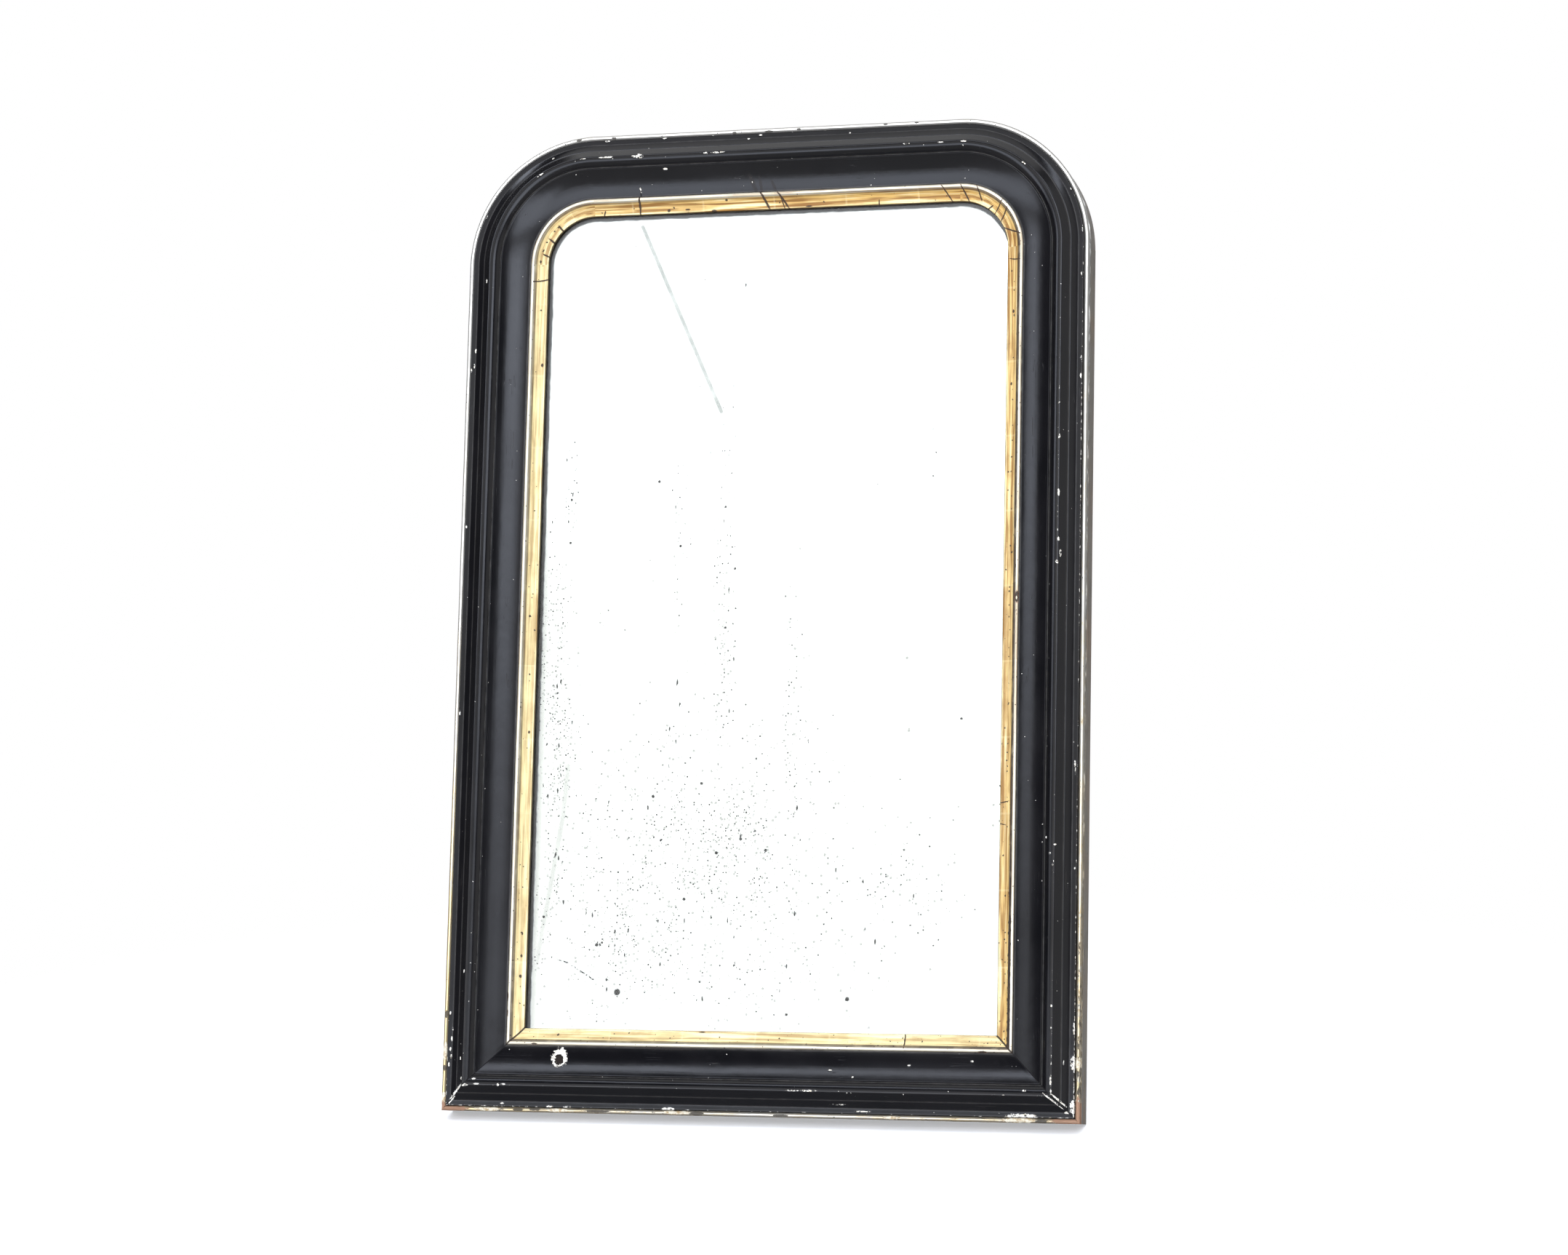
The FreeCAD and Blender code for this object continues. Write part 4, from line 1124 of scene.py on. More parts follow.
@dataclass(frozen=True)
class GoldLeaf(Finish):
    """Water-gilt leaf: burnished on bead and lip, matt amber in the cove, rubbed to the bole, cracked; painted
    shade on the top, the right and the sight edge, and a painted highlight on the bead.
    """

    matt: Colour = (1.0, 0.86, 0.44)
    burnished: Colour = (1.0, 0.89, 0.52)
    # Near white on the slip's bead: a painted highlight of its burnish.
    pale: Colour = (1.0, 0.94, 0.77)
    # Deeper amber, laid where the leaf is toned and as painted shade on the top rail and the right side.
    toned_and_shaded: Colour = (0.74, 0.42, 0.075)
    shade: Colour = (0.27, 0.12, 0.02)
    bole: Colour = (0.26, 0.085, 0.035)
    # Dirt colour, also laid as painted shade on the wall at the sight edge and on the foot.
    dirt_and_shade: Colour = (0.030, 0.017, 0.010)
    gesso: Colour = (0.80, 0.70, 0.50)
    leaf_width: float = 0.081

    def paint(self, g: Graph) -> Coat:
        """Wires the gilding.

        Args:
            g: the material's graph.

        Returns:
            What the shader's inputs get.
        """
        place, run = g.place, g.run
        edge, worn, hollow = g.value("edge"), g.value("worn"), g.value("hollow")
        across, up, warmth_and_shade = g.value("across"), g.value("up"), g.value("warmth_and_shade")
        leaves = g.math("DIVIDE", g.split(run)[0], self.leaf_width)
        tone = g.node("ShaderNodeTexWhiteNoise", {"W": g.math("FLOOR", leaves)}, noise_dimensions="1D")
        lap = g.step(g.math("FRACT", leaves), 0.965, 0.985)
        lip = g.step(g.weigh(across, (g.noise(run, 90.0), 0.8)), 88.0, 89.2)
        polish, cove = g.most(g.step(across, 77.2, 76.5), lip), g.step(across, 76.5, 77.2)
        clouds, brushed, drawn = g.grime(26.0, 0.45, 0.2), g.grain(320.0, 26.0)[0], g.grain(300.0, 46.0)[0]
        streaks = g.noise(g.drawn_out(0.035), 300.0, 2.0)
        patina = g.times(g.step(g.noise(g.drawn_out(0.4), 60.0, 5.0), 0.5, 0.66), g.scale(worn, 0.2, 1.1))
        rub = g.flake(g.weigh(g.times(edge, 0.22, worn), (worn, 0.10)), 260.0, 1.05, g.drawn_out(0.5))[0]
        pins, dots = g.specks(240.0, g.times(worn, 0.75), 0.31), g.specks(90.0, g.times(worn, 0.34), 0.17)
        crack, crack_rim = g.flake("crack", 900.0, 0.45)
        smudge, smudge_rim = g.flake("smudge", 700.0, 0.6)
        loss = g.flake("chip", 900.0, 0.3)[0]
        broken = g.scale(g.step(g.noise(run, 70.0, 4.0), 0.28, 0.5), 0.8, 0.98)
        near = g.times(g.step(across, 75.0, 76.2), g.step(across, 79.0, 77.8), worn, 0.75)
        blots = g.step(g.weigh(g.noise(run, 170.0, 4.0), (worn, 0.5)), 0.93, 1.03)
        blots = g.times(blots, g.step(across, 74.6, 75.8), g.step(across, 79.6, 78.2), worn)
        quirk = g.times(g.step(g.add(hollow, near, blots), 0.05, 0.4), broken, g.scale(worn, 0.3, 1.3))
        # Painted shade: the inner wall at the sight edge and the foot that sits on the glass are darkened.
        wall_shade = g.step(g.weigh(up, (g.noise(run, 120.0, 3.0), 0.5)), 32.5, 31.9)
        wall_shade = g.most(g.times(wall_shade, g.step(across, 89.0, 89.8)), g.step(up, 28.9, 28.4))
        dark = g.most(crack, smudge, pins, dots, g.step(g.value("seam"), 0.0, 0.3), g.times(wall_shade, 0.93))
        base = g.lay(
            self.matt,
            # Painted shade: deeper, darker leaf with less burnish on the top rail and the right side, partly real
            # tone.
            (self.toned_and_shaded, warmth_and_shade, 0.9),
            (self.shade, clouds, 0.3),
            (self.burnished, g.step(streaks, 0.46, 0.34), 0.8),
            (self.burnished, brushed, g.scale(warmth_and_shade, 0.3, 0.1)),
            (self.burnished, polish, g.scale(warmth_and_shade, 0.85, 0.5)),
            # Painted highlight: the slip's bead is laid near white.
            (self.pale, g.less(0.85, cove)),
            (self.shade, g.step(drawn, 0.46, 0.62), g.scale(warmth_and_shade, 0.3, 0.6)),
            (self.shade, g.step(streaks, 0.5, 0.6), g.scale(warmth_and_shade, 0.35, 1.0), cove),
            (self.shade, patina, 0.55, cove),
            (self.shade, g.less(tone.outputs[0], 0.35), 0.35),
            (self.burnished, lap, 0.15),
            (self.bole, rub, 0.8),
            (self.dirt_and_shade, quirk),
            (self.bole, g.most(crack_rim, smudge_rim), 0.65),
            # Cracks, smudges, specks and joints, and the painted shade of the sight edge's wall and foot.
            (self.dirt_and_shade, dark, 0.95),
            (self.gesso, loss),
        )
        plain = g.most(dark, loss, g.times(rub, 0.85), quirk)
        gloss = g.weigh(0.48, (clouds, 0.10), (polish, -0.17), (brushed, 0.06))
        crumple = g.noise(place, 420.0, 3.0)
        height = g.weigh(g.times(brushed, 0.8), (crumple, 0.55), (lap, 0.25), (plain, -1.2))
        return {
            "Base Color": base,
            "Metallic": g.times(g.scale(polish, 0.16, 0.85), g.less(1.0, plain)),
            "Roughness": g.blend(plain, gloss, 0.72),
            "Normal": g.bump(height, 0.00010),
        }


@dataclass(frozen=True)
class PaleLeaf(Finish):
    """Silvered bead gone to straw: worn to cream gesso, blackened in spots, bare wood where it is knocked, with
    painted shade on its sides and along its edge lines.
    """

    silver: Colour = (0.90, 0.87, 0.79)
    straw: Colour = (0.90, 0.68, 0.33)
    gesso: Colour = (0.80, 0.73, 0.57)
    old_gesso: Colour = (0.50, 0.36, 0.19)
    # Tarnish for the blackened spots, also laid as painted shade on the bead's sides and edge lines.
    tarnish_and_shade: Colour = (0.050, 0.042, 0.032)
    wood: Colour = (0.26, 0.105, 0.045)
    pale_wood: Colour = (0.46, 0.30, 0.20)

    def paint(self, g: Graph) -> Coat:
        """Wires the bead.

        Args:
            g: the material's graph.

        Returns:
            What the shader's inputs get.
        """
        place, run = g.place, g.run
        worn, across, up = g.value("worn"), g.value("across"), g.value("up")
        grain = g.grain(210.0, 20.0)[0]
        tone = g.weigh(g.value("warmth_and_shade"), (g.math("SUBTRACT", g.noise(run, 24.0, 3.0), 0.5), 0.7))
        thin = g.add(g.times(worn, 0.34), g.times(g.value("edge"), 0.10), 0.04)
        wear, rim = g.flake(thin, 190.0, 0.95, g.drawn_out(0.38))
        black = g.flake(g.add(g.times(worn, 0.29), 0.08), 240.0, 1.05, g.drawn_out(0.42, (3.1, 1.7, 0.0)))[0]
        pins = g.specks(330.0, g.scale(worn, 0.04, 0.4), 0.25)
        chips, lumps, bare = (
            g.flake(name, scale, ragged)[0]
            for name, scale, ragged in (("chip", 620.0, 0.5), ("smudge", 600.0, 0.6), ("bare", 330.0, 0.5))
        )
        ground = g.mix(g.step(g.noise(place, 300.0, 4.0), 0.4, 0.66), self.gesso, self.old_gesso)
        lost = g.most(wear, chips)
        # Painted shade: the bead's sides, its outer edge line and its inner edge next to the moulding are
        # darkened.
        wall_shade = g.times(g.step(up, 37.6, 36.2), g.step(g.noise(run, 60.0, 3.0), 0.34, 0.52))
        inner = g.step(g.weigh(across, (worn, 0.9)), 3.9, 4.6)
        sides = g.most(g.times(g.step(across, 1.7, 1.0), g.step(up, 37.0, 37.6)), inner)
        wall_shade = g.math("MAXIMUM", wall_shade, g.times(sides, g.scale(g.noise(run, 80.0, 3.0), 0.85, 1.25)), clamp=True)
        dark = g.most(black, lumps, pins, g.times(wall_shade, 0.8), g.step(g.value("seam"), 0.4, 0.8))
        dark = g.less(dark, g.times(chips, 0.75))
        base = g.lay(
            self.silver,
            (self.straw, g.step(tone, 0.1, 0.9)),
            (self.straw, rim, 0.5),
            (ground, lost),
            (self.tarnish_and_shade, dark, 0.94),
            (g.mix(grain, self.wood, self.pale_wood), bare),
        )
        plain = g.most(lost, dark, bare)
        height = g.weigh(g.times(grain, 0.7), (plain, -1.3), (g.noise(place, 700.0, 3.0), 0.7))
        return {
            "Base Color": base,
            "Metallic": g.times(g.less(1.0, plain), 0.85),
            "Roughness": g.blend(plain, g.scale(grain, 0.28, 0.44), 0.78),
            "Normal": g.bump(height, 0.00014),
        }


class Lie(Enum):
    """Which way the grain of a board or length runs, as the turn that brings it on to the first axis."""

    UPRIGHT = (0.0, math.pi / 2, 0.0)
    LEVEL = (0.0, 0.0, 0.0)
    RISING = (0.0, math.pi / 4, 0.0)
    FALLING = (0.0, -math.pi / 4, 0.0)


@dataclass(frozen=True)
class Timber(Finish):
    """Unfinished wood that has greyed and gathered dust, with its growth rings, saw marks and stains."""

    lie: Lie = Lie.UPRIGHT
    early: Colour = (0.34, 0.24, 0.155)
    late: Colour = (0.20, 0.13, 0.08)
    grey: Colour = (0.215, 0.205, 0.18)
    stain: Colour = (0.060, 0.045, 0.033)
    ageing: float = 0.6
    rings: float = 34.0
    stretch: float = 11.0
    shift: float = 0.0
    saw: float = 0.4

    def paint(self, g: Graph) -> Coat:
        """Wires the wood.

        Args:
            g: the material's graph.

        Returns:
            What the shader's inputs get.
        """
        wood = g.turned(g.place, (self.shift, self.shift * 0.7, self.shift * 0.3), self.lie.value)
        grain = g.grain(self.rings, self.stretch, wood)[0]
        fibres, pores = g.grain(self.rings * 9, 26.0, wood)
        bands = g.step(g.math("SINE", g.times(grain, 42.0)), -0.2, 1.0)
        base = g.lay(
            self.early,
            (self.late, bands, 0.75),
            (self.late, fibres, 0.4),
            (self.stain, pores, 0.35),
            (self.grey, g.grime(9.0, self.ageing, 0.22), 0.85),
            (self.stain, g.grime(19.0, 0.16, 0.12), 0.55),
            (self.stain, g.specks(120.0, 0.05, 0.18), 0.7),
        )
        saw = g.noise(g.turned(wood, rotation=(0.0, 0.12, 0.1), scale=(1.0, 0.05, 0.05)), 420.0, 2.0)
        height = g.weigh(g.times(fibres, 0.9), (pores, -0.7), (saw, self.saw), (bands, 0.5))
        return {"Base Color": base, "Roughness": g.scale(fibres, 0.72, 0.92), "Normal": g.bump(height, 0.00025)}


@dataclass(frozen=True)
class Iron(Finish):
    """Wrought or drawn iron: dark scale with rust in patches and a few bright rubs."""

    scale_colour: Colour = (0.065, 0.060, 0.057)
    rust: Colour = (0.20, 0.075, 0.030)
    old_rust: Colour = (0.09, 0.030, 0.015)
    bright: Colour = (0.42, 0.40, 0.38)
    rusting: float = 0.45
    gloss: float = 0.42

    def paint(self, g: Graph) -> Coat:
        """Wires the metal.

        Args:
            g: the material's graph.

        Returns:
            What the shader's inputs get.
        """
        patches, rubs = g.grime(170.0, self.rusting, 0.08), g.grime(420.0, 0.3, 0.1)
        powder = g.mix(g.noise(g.place, 900.0, 3.0), self.rust, self.old_rust)
        height = g.weigh(g.times(patches, 0.6), (g.noise(g.place, 800.0, 4.0), 0.6))
        return {
            "Base Color": g.lay(self.scale_colour, (self.bright, rubs, 0.6), (powder, patches, 0.85)),
            "Metallic": g.math("SUBTRACT", 1.0, g.times(patches, 0.9)),
            "Roughness": g.blend(patches, g.scale(rubs, self.gloss, self.gloss - 0.12), 0.82),
            "Normal": g.bump(height, 0.00012),
        }


@dataclass(frozen=True)
class PlateGlass(Finish):
    """Clear old glass, faintly green, with a very slight swim."""

    clear: Colour = (0.985, 0.995, 0.985)
    tinted: Colour = (0.955, 0.985, 0.965)

    def paint(self, g: Graph) -> Coat:
        """Wires the glass."""
        return {
            "Base Color": g.mix(g.noise(g.place, 4.0, 3.0), self.clear, self.tinted),
            "Roughness": 0.0,
            "Transmission Weight": 1.0,
            "Normal": g.bump(g.noise(g.place, 2.2, 2.0), 0.00004),
        }


@dataclass(frozen=True)
class Silvering(Finish):
    """The mirror's silver: pitted at the lower left, lost along its left and top edges, and scratched.

    A cloud of pits is its middle and half sizes in metres and how thick the pits lie, a spot its middle and reach,
    a scratch both its ends, its width and its strength, and a row of dashes both its ends.
    """

    silver: Colour = (0.955, 0.955, 0.95)
    lost: Colour = (0.020, 0.017, 0.014)
    haze: Colour = (0.25, 0.265, 0.25)
    backing: Colour = (0.24, 0.10, 0.065)
    dark_backing: Colour = (0.15, 0.06, 0.04)
    sight: float = 0.0902
    clouds: tuple[Row, ...] = (
        (-0.050, 0.290, 0.105, 0.105, 0.75), (-0.140, 0.205, 0.090, 0.105, 0.60),
        (-0.240, 0.380, 0.032, 0.280, 0.80),
        (-0.048, 0.540, 0.015, 0.260, 0.50), (-0.100, 0.640, 0.012, 0.120, 0.50),
        (-0.226, 0.670, 0.010, 0.090, 0.55),
        (0.030, 0.430, 0.014, 0.200, 0.42), (-0.080, 0.250, 0.230, 0.230, 0.32),
        (0.150, 0.250, 0.090, 0.110, 0.13),
    )
    spots: tuple[Row, ...] = (
        (-0.1583, 0.1304, 0.0038), (0.0966, 0.1262, 0.0024), (-0.1263, 0.6883, 0.0017),
        (-0.2265, 0.6700, 0.0015),
        (-0.2263, 0.6220, 0.0015), (-0.0502, 0.6586, 0.0014), (-0.1002, 0.6163, 0.0015),
        (-0.1830, 0.1810, 0.0021),
        (-0.1770, 0.1835, 0.0013), (-0.1238, 0.3420, 0.0018), (-0.0696, 0.3560, 0.0017),
        (-0.0512, 0.2810, 0.0019),
        (-0.0245, 0.2960, 0.0018), (0.0035, 0.2840, 0.0018), (-0.0861, 0.2310, 0.0018),
        (-0.2440, 0.2110, 0.0016),
        (0.0305, 0.1090, 0.0015), (0.2156, 0.4248, 0.0014),
    )
    scratches: tuple[tuple[Colour, Colour, float, float], ...] = (
        ((-0.1534, 0.0, 0.9756), (-0.0577, 0.0, 0.7644), 0.0037, 0.80),
        ((-0.2215, 0.0, 0.3750), (-0.2255, 0.0, 0.3200), 0.0042, 0.28),
        ((-0.2255, 0.0, 0.3200), (-0.2540, 0.0, 0.1400), 0.0042, 0.32),
    )
    dashes: tuple[tuple[Colour, Colour], ...] = (
        ((-0.2335, 0.0, 0.1672), (-0.2140, 0.0, 0.1610)),
        ((-0.2140, 0.0, 0.1610), (-0.1830, 0.0, 0.1420)),
    )

    def paint(self, g: Graph) -> Coat:
        """Wires the silver and its decay.

        Args:
            g: the material's graph.

        Returns:
            What the shader's inputs get.
        """
        flat = g.turned(g.place, scale=(1.0, 0.0, 1.0))
        pits, faint = self._pits(g, flat)
        veil, edge = self._edges(g, flat)
        veil = g.most(veil, faint)
        for start, end, width, strength in self.scratches:
            stroke = g.use("Stroke", Vector=flat, Start=start, End=end, Width=width)[0]
            patchy = g.scale(g.step(g.noise(flat, 45.0, 3.0), 0.3, 0.6), 0.7, 1.0)
            veil = g.most(veil, g.times(stroke, strength, patchy))
        for start, end in self.dashes:
            stroke = g.use("Stroke", Vector=flat, Start=start, End=end, Width=0.0011)[0]
            pits = g.most(pits, g.times(stroke, g.step(g.noise(flat, 210.0, 3.0), 0.46, 0.52)))
        pits = g.most(pits, edge)
        painted = g.step(g.split(g.node("ShaderNodeNewGeometry").outputs["Normal"])[1], 0.2, 0.6)
        paint = g.mix(g.noise(g.place, 40.0, 4.0), self.backing, self.dark_backing)
        return {
            "Base Color": g.lay(self.silver, (self.haze, veil), (self.lost, pits), (paint, painted)),
            "Metallic": g.math("SUBTRACT", 1.0, g.most(pits, painted)),
            "Roughness": g.most(g.times(pits, 0.7), g.times(painted, 0.8), g.times(veil, 0.2)),
        }

    def _pits(self, g: Graph, flat: Socket) -> tuple[Socket, Socket]:
        """The pits: clouds of fine ones, and larger ones at their own places.

        Args:
            g: the material's graph.
            flat: places on the sheet.

        Returns:
            A mask of the pits, and a veil of fainter ones among them.
        """
        amount = g.times(g.step(g.noise(flat, 8.0, 3.0), 0.5, 0.75), 0.03)
        for x, z, half_width, half_height, thickness in self.clouds:
            squeezed = g.turned(flat, scale=(1 / half_width, 0.0, 1 / half_height))
            off = g.vector("DISTANCE", squeezed, (x / half_width, 0.0, z / half_height))
            amount = g.most(amount, g.times(g.step(off, 1.15, 0.1), thickness))
        clumps = g.noise(g.turned(flat, scale=(1.0, 1.0, 0.45)), 34.0, 4.0)
        amount = g.times(amount, g.scale(g.step(clumps, 0.36, 0.6), 0.2, 1.25))
        fine = g.specks(360.0, amount, 0.38, flat)
        faint = g.specks(290.0, g.times(amount, 1.5), 0.46, g.turned(flat, (1.3, 0.0, 0.9)))
        streaked = g.turned(flat, (0.7, 0.0, 0.3), scale=(1.0, 1.0, 0.32))
        tall = g.specks(270.0, g.times(amount, 0.45), 0.3, streaked)
        pits = g.most(fine, tall, g.specks(105.0, g.times(amount, 0.4), 0.2, flat))
        ragged = g.times(g.math("SUBTRACT", g.noise(flat, 700.0, 3.0), 0.5), 0.9)
        for x, z, reach in self.spots:
            off = g.math("DIVIDE", g.vector("DISTANCE", flat, (x, 0.0, z)), reach)
            pits = g.most(pits, g.step(g.add(off, ragged), 1.05, 0.8))
        return pits, g.times(faint, 0.6)

    def _edges(self, g: Graph, flat: Socket) -> tuple[Socket, Socket]:
        """The decay along the sight edge, widest at the left and the top.

        Args:
            g: the material's graph.
            flat: places on the sheet.

        Returns:
            A veil, and a mask of the silver that is lost.
        """
        layout = Layout.from_frame()
        corner = (layout.corner_x * MM, 0.0, layout.corner_z * MM)
        x, _, z = g.split(flat)
        beyond = g.vector("SUBTRACT", g.vector("ABSOLUTE", flat), corner)
        off = g.vector("LENGTH", g.vector("MAXIMUM", beyond))
        within = g.math("SUBTRACT", layout.radius * MM - self.sight, off)
        within = g.weigh(within, (g.math("SUBTRACT", g.noise(flat, 60.0, 5.0, 0.65), 0.5), 0.0035))
        damp = g.most(g.step(x, -0.05, -0.2), g.step(z, 0.93, 0.975))
        share = g.math("DIVIDE", within, g.scale(damp, 0.0002, 0.0046))
        return g.times(g.step(share, 3.0, 0.9), 0.42, damp), g.step(share, 1.15, 0.7)


BOARD = Timber(
    "backboard", early=(0.40, 0.265, 0.15), late=(0.215, 0.125, 0.065), rings=26.0, stretch=28.0, saw=0.9
)
FINISHES = (
    Ebonised("ebonised_wood", specular=0.28),
    GoldLeaf("gold_leaf"),
    PaleLeaf("pale_leaf"),
    Timber("softwood_upright", lie=Lie.UPRIGHT, ageing=0.8),
    Timber("softwood_level", lie=Lie.LEVEL, ageing=0.8, shift=0.3),
    Timber("softwood_left_corner", lie=Lie.FALLING, ageing=0.8, shift=0.7),
    Timber("softwood_right_corner", lie=Lie.RISING, ageing=0.8, shift=1.1),
    replace(BOARD, name="backboard_left", shift=1.9, ageing=0.28),
    replace(BOARD, name="backboard_middle", shift=3.4, ageing=0.5),
    replace(BOARD, name="backboard_right", shift=5.3, ageing=0.36),
    Timber("hardwood", lie=Lie.LEVEL, early=(0.30, 0.17, 0.085), late=(0.19, 0.10, 0.05), ageing=0.2, rings=60.0),
    Iron("wrought_iron", rusting=0.62, gloss=0.5),
    Iron("hanger_steel", scale_colour=(0.13, 0.12, 0.11), bright=(0.55, 0.53, 0.50), rusting=0.35, gloss=0.36),
    PlateGlass("plate_glass"),
    Silvering("silvering"),
)
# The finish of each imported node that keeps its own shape, by how its name starts.
PLAIN_LOOKS = {
    "carcass_left_stile": "softwood_upright",
    "carcass_right_stile": "softwood_upright",
    "carcass_top_rail": "softwood_level",
    "carcass_bottom_rail": "softwood_level",
    "backboard_left": "backboard_left",
    "backboard_middle": "backboard_middle",
    "backboard_right": "backboard_right",
    "dowels_": "hardwood",
    "mitre_key_": "hardwood",
    "glue_blocks_": "softwood_upright",
    "glass_shims": "softwood_upright",
    "hanger_": "hanger_steel",
}


# Sub-assemblies


def dress(piece: bpy.types.Object, material: Material) -> None:
    """Gives every slot of a piece one material.

    Args:
        piece: the piece.
        material: its finish.
    """
    if not piece.material_slots:
        piece.data.materials.append(material)
    for slot in piece.material_slots:
        slot.material = material


def hand_over(piece: bpy.types.Object, material: Material, body: str, slot: str, *nodes: str) -> None:
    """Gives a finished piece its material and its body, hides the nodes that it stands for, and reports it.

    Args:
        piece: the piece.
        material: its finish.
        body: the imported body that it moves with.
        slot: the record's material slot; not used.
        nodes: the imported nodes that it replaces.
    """
    dress(piece, material)
    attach(piece, body)
    if nodes:
        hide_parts(*nodes)
    LOG.info("%s: %d faces on %s", piece.name, len(piece.data.polygons), body)


@dataclass(frozen=True)
class Layer:
    """One layer of the frame: its section and slot, and the marks, wear and unevenness of its lengths."""

    name: str
    section: Section
    slot: str
    marks: Sequence[Mark] = ()
    wear: Drift = field(default_factory=dict)
    # The tone of each length; on the slip it also carries painted shade on the top rail and the right side.
    warmth_and_shade: Drift = field(default_factory=dict)
    lumps: float = 0.0
    ripple: float = 0.12
    corner_pitch: float = 2.5
    seed: int = 1

    def build(self, layout: Layout, material: Material) -> None:
        """Makes, dresses and hands over the six lengths.

        Args:
            layout: the frame's outline.
            material: the layer's finish.
        """
        for number, run in enumerate(Run):
            node = f"{self.name}_{run.value}"
            piece = Sweep(layout, self, run, self.seed * 50 + number * 7).build(f"{node}_dressed")
            hand_over(piece, material, BODY, self.slot, node)


LAYERS = (
    Layer("moulding", MOULDING, "ebonised_wood", MOULDING_MARKS, MOULDING_WEAR, ripple=0.10, seed=1),
    Layer("slip", SLIP, "gold_leaf", SLIP_MARKS, SLIP_WEAR, SLIP_WARMTH_AND_SHADE, ripple=0.08, lumps=0.06, seed=2),
    Layer("bead", BEAD, "pale_leaf", BEAD_MARKS, BEAD_WEAR, BEAD_WARMTH, ripple=0.12, lumps=0.55, seed=3),
)


@dataclass
class Backing:
    """The plain parts behind the mouldings: carcass, boards, blocks, keys, dowels, shims and hangers."""

    layout: Layout
    materials: dict[str, Material]

    def build(self) -> None:
        """Makes the carcass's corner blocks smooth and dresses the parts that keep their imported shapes."""
        carcass = Layer("carcass", CARCASS, "softwood", ripple=0.1, corner_pitch=3.0)
        for run in (LC, RC):
            piece = Sweep(self.layout, carcass, run, 900).build(f"carcass_{run.value}_block")
            material = self.materials[f"softwood_{run.value}"]
            hand_over(piece, material, BODY, "softwood", f"carcass_{run.value}")
        for name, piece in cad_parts.items():
            for start, finish in PLAIN_LOOKS.items():
                if name.startswith(start):
                    dress(piece, self.materials[finish])


@dataclass
class Glazing:
    """The plate glass and the silvering behind it, parted by a hair so that each keeps its own face."""

    layout: Layout
    materials: dict[str, Material]
    edge_across: float = 81.0
    parting: float = 0.00002
    arris: float = 0.0003
    arc_steps: int = 48

    def outline(self) -> np.ndarray:
        """The glass's edge, anticlockwise seen from behind.

        Returns:
            Points (x, z) in metres.
        """
        low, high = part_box("mirror_glass")
        reach = (self.layout.radius - self.edge_across) * MM
        centre_x, centre_z = self.layout.corner_x * MM, self.layout.corner_z * MM
        points = [(low.x, low.z), (high.x, low.z)]
        for side, quarter in ((1.0, 0.0), (-1.0, math.pi / 2)):
            for k in range(self.arc_steps + 1):
                angle = quarter + math.pi / 2 * k / self.arc_steps
                points.append((side * centre_x + reach * math.cos(angle), centre_z + reach * math.sin(angle)))
        return np.array(points)

    def build(self) -> None:
        """Makes both sheets."""
        line, hair = self.outline(), Vector((0, self.parting, 0))
        low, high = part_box("mirror_glass")
        glass = slab("mirror_plate", low.y, (high - hair).y, line, self.arris)
        hand_over(glass, self.materials["plate_glass"], BODY, "plate_glass", "mirror_glass")
        low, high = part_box("mirror_silvering")
        silver = slab("mirror_silver_coat", (low + hair).y, high.y, line, self.parting)
        hand_over(silver, self.materials["silvering"], BODY, "silvering", "mirror_silvering")


